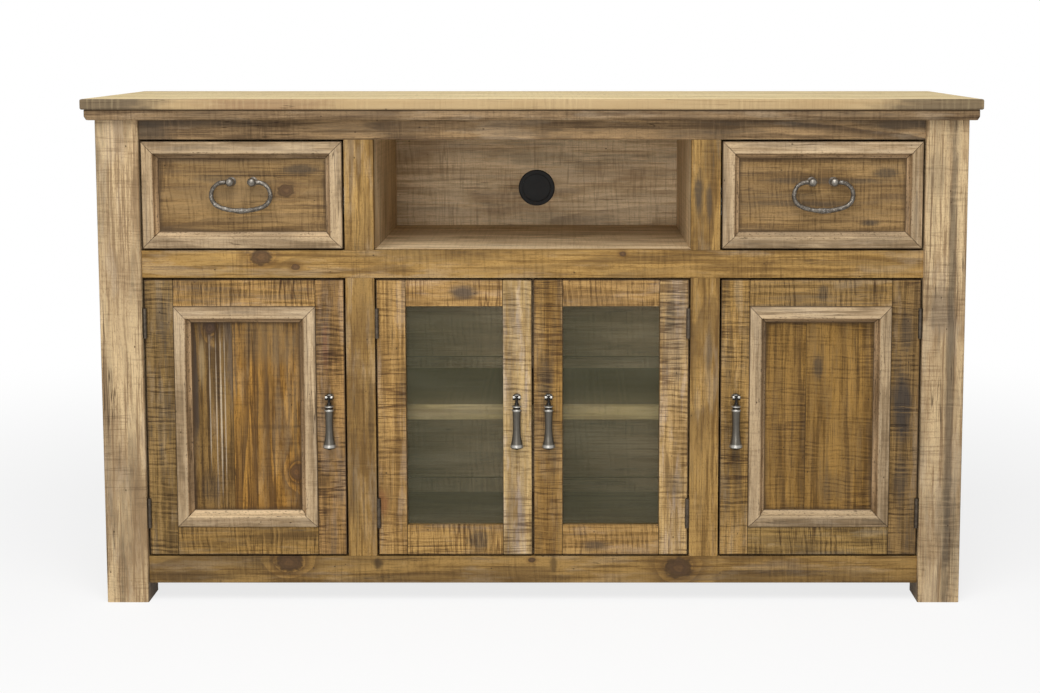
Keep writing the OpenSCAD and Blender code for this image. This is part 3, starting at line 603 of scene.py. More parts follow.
def saw_marks(wood, saw, pitch, patchiness):
    """Stain in the hollows, and ridges that are worn pale."""
    coarse = saw_chatter(wood, pitch, patchiness, wood.seed + 0.3, dash=45.0)
    fine = saw_chatter(wood, pitch * 0.43, patchiness, wood.seed + 7.9, dash=32.0)
    wood.marks = either(coarse.rise(0.08, 0.85) * 0.85, fine.rise(0.10, 0.70) * 0.55) * saw
    wood.ridges = (coarse * -1.0).rise(0.05, 0.7) * saw
    wood.paint(wood.ridges * 0.38, wood.colours["light"])
    wood.stain(wood.marks * 0.95, (0.27, 0.235, 0.215))


def saw_lines(wood, saw):
    """Single saw lines: thin, dark and nearly straight across the board, in groups."""
    wavy = wood.grain(78.0, 4.0, 11.0, detail=2.0, roughness=0.6)
    group = wood.grain(8.0, 9.0, 3.0, detail=2.0)
    cut = abs(wavy - 0.5).rise(0.042, 0.010) * group.rise(0.47, 0.60) * (0.35 + wood.thread * 0.9)
    wood.cut = cut * saw
    wood.stain(wood.cut * 1.15, (0.36, 0.30, 0.26))


# %% [markdown]
# Last comes what use and years did, together with painted light and shade. Grime leaves dark specks on a
# moulding and in the joints, and a moulding's crest is worn pale and carries a painted highlight. Painted
# shade darkens a moulding's hollow and edges, the corners of a panel, a door's outer edge and the seam
# under the top, and painted light brightens the lower moulding's inner slope.


# %% Wear, grime, and painted light and shade
def moulding_wear_light_and_shade(wood, hollow, rub):
    """Hollow is where the hollow starts and ends, from the moulding's outer edge."""
    start, end = hollow
    inset = wood.lay.inset
    lower = wood.lay.members[3]
    # Painted shade in the hollow, weaker on the lower member, whose hollow faces the light.
    hollow_shade = inset.rise(start, start + 0.0018) * (0.65 + wood.grit * 0.7) * (1.0 - lower * 0.75)
    # Painted shadow of the gap along the outer edge.
    foot = inset.rise(0.0022, 0.0006)
    pepper = (wood.grit * 0.6 + wood.thread * 0.4).rise(0.47, 0.38) * inset.rise(start - 0.006, start)
    # The crest is worn pale and carries a painted highlight.
    crest = inset.rise(start - 0.0050, start - 0.0030) * inset.rise(start + 0.0005, start - 0.0010)
    wood.paint(crest * 0.35, wood.colours["light"])
    wood.stain(hollow_shade * 0.60, (0.64, 0.51, 0.37))
    # Painted light on the lower member's inner slope, which faces up.
    rubbed = lower * inset.rise(start - 0.0020, start + 0.0005) * (0.4 + wood.tone * 0.8)
    wood.paint(rubbed * rub, (0.66, 0.49, 0.29))
    flat = lower * inset.rise(start - 0.0020, start - 0.0045)
    wood.stain(flat * 0.12, (0.60, 0.58, 0.56))
    wood.paint(pepper * 0.75, STAIN_AND_SHADE)
    # Painted shade along the outer edge and where the moulding meets the panel.
    wood.paint(either(inset.rise(end - 0.0014, end - 0.0004), foot) * 0.7, STAIN_AND_SHADE)


def paint_shade_and_joints(wood, corners, seam):
    """Painted shade where a panel meets its frame, along a door's outer edge and in the seam under the top, and dark
    joints between boards.
    """
    if corners:
        middle, half = corners
        # Painted shade along the panel's border with its moulding.
        gap = (half[0] - abs(wood.x - middle[0])).math("MINIMUM", half[1] - abs(wood.z - middle[1]))
        corner_shade = (gap + (wood.cloud - 0.5) * 0.012).rise(0.0075, 0.0005)
        wood.paint(corner_shade * 0.60, STAIN_AND_SHADE)
    if wood.lay.edge is not None:
        # Painted shadow of the gap round a door.
        wood.paint(wood.lay.edge.rise(0.0022, 0.0006) * 0.75, STAIN_AND_SHADE)
    if seam is not None:
        # Painted shadow under the slab's edge.
        wood.paint(abs(wood.z - seam).rise(0.0030, 0.0012) * 0.85, STAIN_AND_SHADE)
    if wood.lay.joint is not None:
        wood.paint(wood.lay.joint * 0.8, STAIN_AND_SHADE)


# %% The wood's relief
def relief(wood):
    """Hard rings and fibres stand out. Saw marks, holes, cracks and joints are sunk."""
    height = wood.late * 0.15 + wood.streak * 0.30 + wood.thread * 0.16 + wood.grit * 0.10
    height = height - wood.marks * 0.40 + wood.ridges * 0.15 - wood.holes * 0.5
    height = height - wood.crack * 0.6 - wood.cut * 0.5
    if wood.lay.joint is not None:
        height = height - wood.lay.joint * 0.5
    return height


# %% [markdown]
# One function puts the steps in order. Rings, fibres, saw, smoke, bleach, specks and cracks are how
# strong each feature is, ring_pitch and saw_pitch are in metres, and shade darkens the whole board.


# %% The whole finish
def pine(name, lay_boards, colours, seed, rings=0.55, ring_pitch=0.006, fibres=0.6,
         saw=0.6, saw_pitch=0.011, saw_patch=0.6, smoke=0.5, bleach=0.2, specks=0.3, cracks=0.5,
         knots=(), patches=(), tints=(), boards=0.0, corners=None, seam=None, hollow=None, rub=0.75,
         shade=1.0):
    """A finish of sawn, stained pine on boards that lie as lay_boards says."""
    wood = Wood(name, lay_boards, colours, seed)
    grow_rings(wood, ring_pitch, knots)
    grow_fibres(wood, rings, fibres, bleach)
    if boards:
        tell_boards_apart(wood, boards)
    smoke_boards(wood, smoke, patches)
    dry_cracks(wood, cracks)
    saw_marks(wood, saw, saw_pitch, saw_patch)
    saw_lines(wood, saw)
    worm_holes(wood, specks)
    if knots:
        colour_knots(wood)
    for member, tint in zip(wood.lay.members, tints):
        wood.stain(member, tint)
    if hollow:
        moulding_wear_light_and_shade(wood, hollow, rub)
    paint_shade_and_joints(wood, corners, seam)
    if shade != 1.0:
        wood.colour = wood.mix(1.0, wood.colour, (shade, shade, shade), "MULTIPLY")
    roughness = 0.62 + 0.16 * wood.thread - 0.10 * wood.late + 0.12 * wood.marks
    return wood.finish(wood.colour, roughness, relief(wood), Specular_IOR_Level=0.22)


# %% Give a node its finish
finishes = {}


def dress(node, material):
    """Puts one material in all the slots of a CAD node."""
    mesh = frame["nodes"][node].data
    mesh.materials.clear()
    mesh.materials.append(material)
    finishes[node] = material.name


def board(node, lay_boards, colours, name=None, **look):
    """Dresses a wooden node in pine. The finish has the node's name, unless it has one of its own."""
    dress(node, pine(name or node, lay_boards, colours, **look))


# %% [markdown]
# ## The top and the case
# Five planks make the slab and wide boards run under its edge. Posts are paler than the rails, because
# they were wiped harder. Seeds, knots and smoky places are chosen board by board.

# %% Top
half_d = 0.2285
plank = 2 * half_d / 5
under_half = (0.757, 0.2235)
# The top's colours are lighter than its wood, as painted light from above.
top_look_painted_light = dict(light=(0.82, 0.67, 0.365), body=(0.74, 0.585, 0.295), dark=(0.54, 0.40, 0.20))
board("top_board", lambda f: planks(f, "x", "y", [-half_d + plank * i for i in range(1, 5)]), top_look_painted_light,
      name="top_slab", seed=1.3, rings=0.4, ring_pitch=0.009, saw=0.2, smoke=0.12, bleach=0.1,
      boards=0.3,
      # The first patch is painted shade along the slab's front edge; the smaller dark patches are stain.
      patches=[(0.0, -half_d, 5.0, 0.006, (0.33, 0.215, 0.105), 0.80),
               (-0.45, -half_d, 0.13, 0.006, (0.20, 0.10, 0.05), 0.45),
               (-0.73, -half_d, 0.12, 0.007, SMOKE, 0.75),
               (0.70, -half_d, 0.13, 0.007, SMOKE, 0.7)])
under_look = dict(light=(0.31, 0.205, 0.105), body=(0.195, 0.122, 0.058), dark=(0.075, 0.043, 0.020))
slab_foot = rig.box("top_board")[0].z
# The seam at the slab's foot gets a painted shadow.
board("top_underlay", lambda f: mitred(f, (0, 0), under_half, "xy"), under_look,
      name="boards_under_the_top", seed=4.1, rings=0.5, saw=0.3, smoke=0.55, seam=slab_foot)
print("planks in the slab are", round(plank / MM, 1), "mm wide")

# %% Posts
post_side = 0.072
post_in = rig.box("front_posts")[1].x - post_side
board("front_posts", lambda f: straight(f, "z", f.x > 0.0), PALE,
      seed=2.2, rings=0.5, ring_pitch=0.0075, fibres=0.8, saw=0.40, saw_patch=0.45, smoke=0.5,
      bleach=0.3, specks=0.5, cracks=0.8,
      patches=[(0.42, 0.719, 0.75, 0.009, SMOKE, 0.65), (0.75, 0.69, 0.05, 0.02, SMOKE, 0.35),
               (0.52, 0.70, 0.05, 0.03, SMOKE, 0.35), (0.15, 0.715, 0.09, 0.02, SMOKE, 0.4),
               (0.30, -0.735, 0.20, 0.006, SMOKE, 0.3),
               # The last two patches are painted shade on the posts' inner faces near the floor.
               (0.0, -post_in, 0.07, 0.0016, STAIN_AND_SHADE, 0.8), (0.0, post_in, 0.07, 0.0016, STAIN_AND_SHADE, 0.8)])
board("rear_posts", lambda f: straight(f, "z", (f.x > 0.0) + 2.0), PALE,
      seed=5.9, rings=0.5, ring_pitch=0.0075, saw=0.4, smoke=0.5, bleach=0.2, shade=0.9)
print("posts' inner faces at", round(post_in, 4))

# %% Rails of the face
rail_look = dict(light=(0.40, 0.255, 0.12), body=(0.255, 0.160, 0.073), dark=(0.080, 0.046, 0.020))
board("top_rail", lambda f: straight(f, "x"), rail_look,
      seed=3.3, rings=0.95, cracks=0.8, saw=0.3, smoke=0.6,
      patches=[(-0.655, 0.815, 0.05, 0.03, SMOKE, 0.6), (-0.60, 0.836, 0.20, 0.008, SMOKE, 0.5),
               (0.63, 0.833, 0.08, 0.010, SMOKE, 0.6), (0.10, 0.832, 0.25, 0.007, STAIN_AND_SHADE, 0.4)])
board("middle_rail", lambda f: straight(f, "x"), HONEY,
      seed=6.4, rings=0.4, saw=0.35, saw_patch=0.5, smoke=0.35, specks=0.4, shade=0.92,
      knots=[(-0.4655, 0.606, 0.013), (-0.407, 0.589, 0.005), (0.155, 0.612, 0.004)],
      patches=[(-0.2, 0.61, 0.14, 0.02, STAIN_AND_SHADE, 0.25)])
board("bottom_rail", lambda f: straight(f, "x"), HONEY,
      seed=8.8, rings=0.6, saw=0.3, smoke=0.35, specks=0.4, shade=0.72,
      knots=[(-0.4258, 0.069, 0.016), (0.254, 0.059, 0.017), (-0.002, 0.073, 0.004)],
      patches=[(-0.60, 0.045, 0.10, 0.012, STAIN_AND_SHADE, 0.5), (0.0356, 0.067, 0.008, 0.02, STAIN_AND_SHADE, 0.6),
               (-0.271, 0.067, 0.01, 0.012, STAIN_AND_SHADE, 0.8), (0.45, 0.05, 0.2, 0.008, STAIN_AND_SHADE, 0.4)])
print("finishes so far:", len(finishes))

# %% Stiles of the face, and the sides
upper_stiles = 0.594
upper_side_rails = 0.4
board("face_stiles", lambda f: straight(f, "z", (f.x > 0.0) + (f.z > upper_stiles) * 2.0), HONEY,
      seed=9.7, rings=0.6, fibres=0.75, saw=0.25, smoke=0.5, specks=0.3, shade=0.90,
      patches=[(0.719, 0.285, 0.045, 0.009, SMOKE, 0.85), (0.70, 0.302, 0.04, 0.006, SMOKE, 0.7),
               (0.33, -0.28, 0.08, 0.006, STAIN_AND_SHADE, 0.6), (0.45, 0.305, 0.06, 0.006, SMOKE, 0.5)])
board("side_rails", lambda f: straight(f, "y", (f.x > 0.0) + (f.z > upper_side_rails) * 2.0), HONEY,
      seed=10.1, saw=0.35, smoke=0.4)
board("side_panels", lambda f: planks(f, "z", "y", [-0.048, 0.062]), BROWN,
      seed=11.4, saw=0.55, smoke=0.45, rings=0.5)
print("finishes so far:", len(finishes))

# %% Inside and back
shelf_side = 0.28
shelf_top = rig.box("shelves")[1].z
# The inner and back colours are paler than their wood, as painted light inside the case.
inner_look_painted_light = dict(light=(0.82, 0.63, 0.38), body=(0.66, 0.49, 0.28), dark=(0.36, 0.24, 0.13))
shelf_look = dict(light=(0.56, 0.43, 0.20), body=(0.43, 0.32, 0.135), dark=(0.24, 0.165, 0.07))
back_look_painted_light = dict(light=(0.86, 0.68, 0.44), body=(0.74, 0.55, 0.32), dark=(0.36, 0.24, 0.13))
board("partitions", lambda f: straight(f, "z", f.x > 0.0), inner_look_painted_light,
      seed=12.2, saw=0.2, smoke=0.35)
board("niche_floor", lambda f: straight(f, "x"), inner_look_painted_light,
      seed=13.8, saw=0.2, smoke=0.45, rings=0.7)
board("cabinet_floor", lambda f: straight(f, "x"), inner_look_painted_light,
      seed=14.5, saw=0.2, smoke=0.35, shade=0.45)
board("shelves", lambda f: straight(f, "x", (f.x > shelf_side) + (f.x < -shelf_side) * 2.0), shelf_look,
      seed=15.6, saw=0.25, smoke=0.3,
      # This patch is painted shade over the shelves' top face.
      patches=[(0.0, shelf_top, 9.0, 0.0006, (0.10, 0.068, 0.034), 0.75)])
board("back_boards", lambda f: planks(f, "x", "z", [0.116, 0.358, 0.600], 1.3 * MM), back_look_painted_light,
      seed=16.9, boards=0.6, rings=0.45, saw=0.35, smoke=0.45, bleach=0.35, specks=0.3)
board("slide_cleats", lambda f: straight(f, "y", f.x > 0.0), PALE, seed=17.7, saw=0.3)
print("finishes so far:", len(finishes))

# %% [markdown]
# ## Drawers and doors
# Panels are darker and more golden than the frames, the mouldings are paler. Frames keep strong saw
# marks, square to each member's grain.

# %% Frame sizes, from the drawing
drawer_x = 0.4965
drawer_z = 0.713
drawer_half = (0.1715, 0.092)
drawer_panel_half = (0.1425, 0.063)
door_z = 0.325
door_half = (0.1715, 0.242)
door_stile = 0.049
door_panel_half = (0.0935, 0.1655)
glass_x = 0.13525
glass_half = (0.13375, 0.242)
glass_stile = 0.050
bead_z = door_z + 0.003
bead_half = (0.0917, 0.2015)
mould_z = 0.3265
mould_half = (0.1225, 0.1945)
mould_hollow = (0.0195, 0.029)
print("doors are", [round(2 * half / MM) for half in door_half], "mm")

# %% Drawer fronts
drawer_look = dict(light=(0.37, 0.228, 0.088), body=(0.25, 0.146, 0.050), dark=(0.10, 0.055, 0.020))
# The corners argument gives painted shade along each panel's border with its moulding.
board("left_drawer_front", lambda f: straight(f, "x"), drawer_look, name="left_drawer_panel",
      seed=21.3, rings=0.4, saw=0.5, saw_pitch=0.0085, saw_patch=0.75, smoke=0.3, bleach=0.05,
      shade=0.88, corners=((-drawer_x, drawer_z), drawer_panel_half),
      knots=[(-0.4217, 0.7205, 0.0105)],
      patches=[(-0.398, 0.757, 0.045, 0.011, SMOKE, 0.75), (-0.46, 0.746, 0.16, 0.0016, STAIN_AND_SHADE, 0.7),
               (-0.55, 0.742, 0.05, 0.007, SMOKE, 0.4)])
board("right_drawer_front", lambda f: straight(f, "x"), drawer_look, name="right_drawer_panel",
      seed=23.9, rings=0.4, saw=0.6, saw_pitch=0.0075, saw_patch=0.85, smoke=0.45, bleach=0.05,
      shade=0.90, corners=((drawer_x, drawer_z), drawer_panel_half),
      patches=[(0.50, 0.737, 0.12, 0.007, SMOKE, 0.6), (0.47, 0.698, 0.12, 0.006, SMOKE, 0.5),
               (0.605, 0.75, 0.03, 0.012, SMOKE, 0.7), (0.58, 0.665, 0.02, 0.006, SMOKE, 0.8)])
print("finishes so far:", len(finishes))

# %% Mouldings and drawer boxes
mould_look = dict(rings=0.5, saw=0.25, smoke=0.5, bleach=0.25, specks=0.7, cracks=0.7,
                  hollow=mould_hollow)
# The drawer mouldings get less painted light on their lower inner slope.
for side, sign in (("left", -1), ("right", 1)):
    board(side + "_drawer_moulding",
          lambda f: mitred(f, (sign * drawer_x, drawer_z), drawer_half), TRIM,
          seed=25.0 + sign, rub=0.25, **mould_look)
    board(side + "_door_moulding",
          lambda f: mitred(f, (sign * drawer_x, mould_z), mould_half), TRIM,
          seed=27.0 + sign, shade=0.97 - 0.06 * sign, **mould_look)
    board(side + "_drawer_box", lambda f: boxed(f, side + "_drawer_box"), PALE,
          seed=29.0 + sign, saw=0.1, smoke=0.1, rings=0.35)
print("finishes so far:", len(finishes))

# %% Door frames
board("left_door_frame", lambda f: butted(f, (-drawer_x, door_z), door_half, door_stile), BROWN,
      seed=31.5, rings=0.5, saw=0.95, saw_pitch=0.0085, saw_patch=0.85, smoke=0.65,
      tints=[(0.86, 0.88, 0.92), (1.08, 1.02, 1.05), (1.35, 1.33, 1.4), (1.12, 1.1, 1.0)],
      patches=[(0.446, -0.358, 0.05, 0.006, (0.26, 0.12, 0.060), 0.4),
               (0.30, -0.645, 0.10, 0.006, SMOKE, 0.5), (0.50, -0.64, 0.05, 0.012, SMOKE, 0.5)])
board("right_door_frame", lambda f: butted(f, (drawer_x, door_z), door_half, door_stile), BROWN,
      seed=35.2, rings=0.45, saw=0.95, saw_pitch=0.0088, saw_patch=0.85, smoke=0.65,
      tints=[(1.05, 1.03, 0.95), (0.80, 0.80, 0.85), (1.05, 1.05, 1.05), (0.95, 0.98, 0.95)],
      patches=[(0.345, 0.640, 0.08, 0.020, SMOKE, 0.95), (0.475, 0.645, 0.05, 0.014, SMOKE, 0.7),
               (0.22, 0.640, 0.05, 0.016, SMOKE, 0.6), (0.50, 0.543, 0.012, 0.02, SMOKE, 0.6),
               (0.42, 0.338, 0.05, 0.006, SMOKE, 0.5)])
print("finishes so far:", len(finishes))

# %% Door panels
chalky = (0.64, 0.49, 0.29)
# The corners argument gives painted shade along each panel's border with its moulding.
board("left_door_panel", lambda f: planks(f, "z", "x", [-0.520]), AMBER,
      seed=37.1, rings=0.80, ring_pitch=0.0052, fibres=0.95, saw=0.3, saw_patch=0.4, smoke=0.4,
      bleach=0.15, cracks=0.9, tints=[(0.66, 0.68, 0.80), (1.04, 0.95, 0.75)],
      corners=((-drawer_x, mould_z), door_panel_half),
      knots=[(0.484, -0.559, 0.010), (0.227, -0.412, 0.011)],
      patches=[(0.46, -0.455, 0.05, 0.09, (0.13, 0.095, 0.058), 0.50),
               (0.42, -0.573, 0.05, 0.006, (0.50, 0.35, 0.15), 0.5),
               (0.35, -0.560, 0.15, 0.0014, chalky, 0.8), (0.33, -0.549, 0.16, 0.0012, chalky, 0.8),
               (0.33, -0.541, 0.17, 0.0018, (0.70, 0.54, 0.32), 0.9),
               (0.33, -0.534, 0.17, 0.0012, chalky, 0.8), (0.33, -0.545, 0.17, 0.0012, STAIN_AND_SHADE, 0.7),
               (0.33, -0.5375, 0.17, 0.0010, STAIN_AND_SHADE, 0.6),
               (0.484, -0.559, 0.011, 0.008, (0.075, 0.045, 0.026), 0.9),
               (0.36, -0.585, 0.12, 0.006, SMOKE, 0.7), (0.20, -0.56, 0.04, 0.02, SMOKE, 0.4),
               (0.308, -0.45, 0.005, 0.06, STAIN_AND_SHADE, 0.35), (0.30, -0.413, 0.10, 0.004, SMOKE, 0.6)])
board("right_door_panel", lambda f: planks(f, "z", "x", [0.4735]), AMBER,
      seed=41.8, rings=0.45, saw=0.62, saw_pitch=0.0072, saw_patch=0.75, smoke=0.45, bleach=0.03,
      shade=0.84, corners=((drawer_x, mould_z), door_panel_half),
      patches=[(0.413, 0.495, 0.025, 0.010, SMOKE, 0.7), (0.20, 0.52, 0.03, 0.03, SMOKE, 0.3)])
print("finishes so far:", len(finishes))

# %% Glass doors
board("left_glass_frame", lambda f: butted(f, (-glass_x, door_z), glass_half, glass_stile), HONEY,
      seed=43.6, rings=0.35, saw=0.85, saw_pitch=0.0092, saw_patch=0.75, smoke=0.40,
      tints=[(1.05, 1.05, 1.15), (1.36, 1.58, 2.35), (1.05, 1.05, 1.2), (1.05, 1.05, 1.1)],
      patches=[(-0.120, 0.546, 0.030, 0.016, SMOKE, 0.85), (-0.095, 0.108, 0.025, 0.025, SMOKE, 0.75),
               (0.174, -0.262, 0.03, 0.012, (0.20, 0.08, 0.025), 0.7)])
board("right_glass_frame", lambda f: butted(f, (glass_x, door_z), glass_half, glass_stile), HONEY,
      seed=47.4, rings=0.35, saw=0.85, saw_pitch=0.009, saw_patch=0.75, smoke=0.4,
      tints=[(0.80, 0.76, 0.68), (1.24, 1.36, 1.85), (1.0, 1.0, 1.15), (1.0, 1.0, 1.1)],
      patches=[(0.40, 0.022, 0.05, 0.016, SMOKE, 0.65), (0.109, 0.099, 0.03, 0.012, SMOKE, 0.7),
               (0.47, 0.245, 0.12, 0.026, (0.17, 0.120, 0.062), 0.50),
               (0.50, 0.238, 0.04, 0.010, (0.070, 0.048, 0.022), 0.6),
               (0.21, 0.250, 0.03, 0.02, (0.09, 0.062, 0.030), 0.5)])
for side, sign in (("left", -1), ("right", 1)):
    board(side + "_glass_beads", lambda f: mitred(f, (sign * glass_x, bead_z), bead_half), BROWN,
          seed=51.0 + sign, saw=0.2)
print("finishes so far:", len(finishes))

# %% [markdown]
# ## Metal, plastic and glass
# The pulls and hinges are cast and forged in a dark pewter: mid grey where hands wear them bright and
# nearly black in the hollows. On the drops and clevises the bright bands are also painted highlights, the
# black is also painted shade, and the clevises are toned dark as painted shade. The slides are zinc plated
# steel. The grommet and the catches are moulded plastic with a faint grain. The panes have a grey-green
# tint and mirror the room a little.


# %% Pewter
def toned(colour, tone):
    return tuple(part * share for part, share in zip(colour, tone))


def pewter(name, highlight_and_wear_at=(), shade_and_patina_at=(), hammered=False, even=False, tone=(1.0, 1.0, 1.0)):
    """Antique pewter: dark tarnish in the hollows, worn bright with a painted highlight at the listed heights, and
    nearly black between the listed dark heights, as patina and painted shade.
    """
    f = Finish(name)
    fine = f.noise(f.place, scale=900.0, detail=3.0)
    tarnish = (f.noise(f.place, scale=120.0, detail=3.0) * 0.65 + fine * 0.35).rise(0.36, 0.64)
    if even:
        tarnish = 0.35 + tarnish * 0.30
    worn = (0.40, 0.385, 0.35) if even else (0.56, 0.54, 0.50)
    colour = f.mix(tarnish, toned((0.085, 0.077, 0.066), tone), toned((0.200, 0.190, 0.170), tone))
    height = fine * 0.06
    rubbed = 0.0
    for at, reach in highlight_and_wear_at:
        rubbed = either(abs(f.z - at).rise(reach, reach * 0.4), rubbed)
    if hammered:
        dents = f.cells(f.place, scale=300.0)[0]
        height = height + dents * 0.12
        rubbed = dents.rise(0.50, 0.85) * fine.rise(0.40, 0.64) * 0.55
        colour = f.mix(dents.rise(0.25, 0.05) * 0.7, colour, (0.060, 0.052, 0.043))
    # Painted shade, with patina in the grooves: nearly black between the given heights.
    for start, end in shade_and_patina_at:
        shadow = f.z.rise(start, start + 0.0008) * f.z.rise(end, end - 0.0008)
        colour = f.mix(shadow, colour, (0.018, 0.016, 0.014))
    # The worn ridges of a hammered rod, and the worn places and painted highlights of the drops and clevises, take the
    # worn colour.
    if isinstance(rubbed, Value):
        colour = f.mix(rubbed * (0.55 + fine * 0.5), colour, worn)
    roughness = (0.52 if hammered else 0.44) - 0.12 * tarnish
    return f.finish(colour, roughness, height, Metallic=0.70 + 0.15 * tarnish)


# %% Steel, plastic and glass
def steel(name):
    """Zinc plated steel, brushed along its length."""
    f = Finish(name)
    brushed = f.noise(f.vector(f.x * 900.0, f.y * 14.0, f.z * 900.0), detail=2.0)
    colour = f.mix(brushed, (0.46, 0.47, 0.49), (0.64, 0.65, 0.66))
    return f.finish(colour, 0.30 + 0.15 * brushed, brushed * 0.02, Metallic=1.0)


def plastic(name, colour, lighter):
    """Moulded plastic with a faint grain, a little lighter where it is handled."""
    f = Finish(name)
    grain = f.noise(f.place, scale=1500.0, detail=1.0)
    wear = f.noise(f.place, scale=60.0, detail=3.0)
    surface = f.mix(wear.rise(0.45, 0.75), colour, lighter)
    return f.finish(surface, 0.50 + 0.18 * wear, grain * 0.04, Specular_IOR_Level=0.25)


def pane(name):
    """Tinted glass: mostly see-through, with a faint streak of dust."""
    f = Finish(name)
    dust = f.noise(f.vector(f.x * 6.0, f.y, f.z * 30.0), detail=3.0)
    colour = f.mix(dust.rise(0.40, 0.75), (0.120, 0.118, 0.066), (0.170, 0.165, 0.100))
    return f.finish(colour, 0.05, Alpha=0.20, IOR=1.45, Specular_IOR_Level=0.3)


# %% Dress the hardware
hardware = pewter("antique_pewter", tone=(1.25, 1.20, 1.15))
hinge_bronze = pewter("dark_hinges", tone=(0.50, 0.41, 0.32))
zinc = steel("zinc_steel")
black = plastic("black_plastic", (0.010, 0.010, 0.010), (0.017, 0.016, 0.015))
brown = plastic("brown_plastic", (0.09, 0.055, 0.03), (0.12, 0.075, 0.042))
glass = pane("tinted_pane")
for name in frame["nodes"]:
    if name.endswith("hinges"):
        dress(name, hinge_bronze)
    elif name.endswith(("bail", "pull", "pull_post", "bail_posts")):
        dress(name, hardware)
    elif "members" in name or name == "shelf_pins":
        dress(name, zinc)
    elif name.startswith("grommet"):
        dress(name, black)
    elif name in ("left_glass", "right_glass"):
        dress(name, glass)
dress("door_catches", brown)
print("nodes without a finish:", sorted(set(frame["nodes"]) - set(finishes)))

# %% [markdown]
# ## Forged bails
# Each drawer pull is a rod, thick at the bottom and thinner towards its ends, with a small lozenge in
# the middle and a collar beside each ball. It was hammered, so light breaks up on it. A curve with a
# bevel would give an even tube. Here a ring of points is extruded from station to station instead and
# turned and scaled at each one, as a smith works along the rod, and a Displace modifier dents it.

# %% The bail's measures
rod_r = 4.4 * MM
rod_thin = 0.6 * MM
pin_r = 1.9 * MM
bail_end = 25.7 * MM
side_r = 22 * MM
side_x = 28.6 * MM
bail_low = 49 * MM
low_r = (side_x ** 2 + (bail_low - side_r) ** 2 - side_r ** 2) / (2 * (bail_low - side_r) - 2 * side_r)
low_angle = math.asin(side_x / (low_r - side_r))
low_steps = 10
side_steps = 14
thin_until = 11
print("the bail's lower arc has a radius of", round(low_r / MM, 1), "mm")


# %% The stations along the rod
def side_station(turn, half):
    """A station on the round side of the bail."""
    return (side_x + side_r * math.sin(turn), -side_r - side_r * math.cos(turn), turn, half, half)


def half_stations():
    """From the middle of the bottom to the right end: x, z, the rod's turn and its two half sizes."""
    rows = []
    for step in range(low_steps):
        turn = low_angle * step / low_steps
        lozenge = max(0.0, 1.0 - low_r * turn / (10 * MM))
        rows.append((low_r * math.sin(turn), low_r - bail_low - low_r * math.cos(turn), turn,
                     rod_r - 0.8 * MM * lozenge, rod_r + 1.5 * MM * lozenge))
    for step in range(side_steps + 1):
        turn = low_angle + (math.pi - low_angle) * step / side_steps
        thin = rod_r - rod_thin * (step / side_steps) ** 1.5
        rows.append(side_station(turn, thin if step <= thin_until else rod_r))
        if step == thin_until:
            rows.append(side_station(turn + 0.10, thin))
    rows.append((bail_end + 0.3 * MM, 0.0, math.pi, rod_r, rod_r))
    rows.append((bail_end, 0.0, math.pi, rod_r - 0.3 * MM, rod_r - 0.3 * MM))
    rows.append((bail_end, 0.0, math.pi, pin_r, pin_r))
    rows.append((bail_end - 5 * MM, 0.0, math.pi, pin_r, pin_r))
    return rows


right_half = half_stations()
left_half = [(-x, z, -turn, thick, high) for x, z, turn, thick, high in reversed(right_half[1:])]
stations = left_half + right_half
print("stations along a bail:", len(stations))


# %% Pull a ring of points through the stations
def sweep_ring(name, rows, sides):
    """Extrudes a ring, square when it has 4 sides, from row to row.

    Each row is x, z, the turn about Y and the half sizes in Y and across.
    """
    bpy.ops.object.select_all(action="DESELECT")
    x, z, turn, thick, high = rows[0]
    bpy.ops.mesh.primitive_circle_add(vertices=sides, radius=1.0, fill_type="NGON", location=(x, 0, z),
                                      rotation=(0, math.pi / 2, 0))
    piece = bpy.context.object
    piece.name = name
    bpy.ops.object.transform_apply(location=True, rotation=True, scale=True)
    bpy.ops.object.mode_set(mode="EDIT")
    bpy.ops.mesh.select_all(action="SELECT")
    if sides == 4:
        bpy.ops.transform.rotate(value=math.pi / 4, orient_axis="X", center_override=(x, 0, z))
        bpy.ops.transform.resize(value=(1, math.sqrt(2), math.sqrt(2)), center_override=(x, 0, z))
    bpy.ops.transform.resize(value=(1, thick, high), center_override=(x, 0, z))
    bpy.ops.transform.rotate(value=turn, orient_axis="Y", center_override=(x, 0, z))
    before = rows[0]
    for row in rows[1:]:
        x, z, turn, thick, high = row
        step = (x - before[0], 0, z - before[1])
        bpy.ops.mesh.extrude_region_move(TRANSFORM_OT_translate={"value": step})
        bpy.ops.transform.rotate(value=-before[2], orient_axis="Y", center_override=(x, 0, z))
        growth = (1, thick / before[3], high / before[4])
        bpy.ops.transform.resize(value=growth, center_override=(x, 0, z))
        bpy.ops.transform.rotate(value=turn, orient_axis="Y", center_override=(x, 0, z))
        before = row
    bpy.ops.mesh.select_all(action="SELECT")
    bpy.ops.mesh.normals_make_consistent(inside=False)
    bpy.ops.object.mode_set(mode="OBJECT")
    return piece


# %% Modify, copy and place a piece
def apply_modifier(piece, kind, **settings):
    """Adds a modifier with its settings and applies it."""
    modifier = piece.modifiers.new(kind.lower(), kind)
    for key, value in settings.items():
        setattr(modifier, key, value)
    bpy.ops.object.modifier_apply(modifier=modifier.name)


def copy_of(piece, name):
    """A copy of a piece with its own mesh."""
    twin = piece.copy()
    twin.data = piece.data.copy()
    twin.name = name
    bpy.context.collection.objects.link(twin)
    return twin


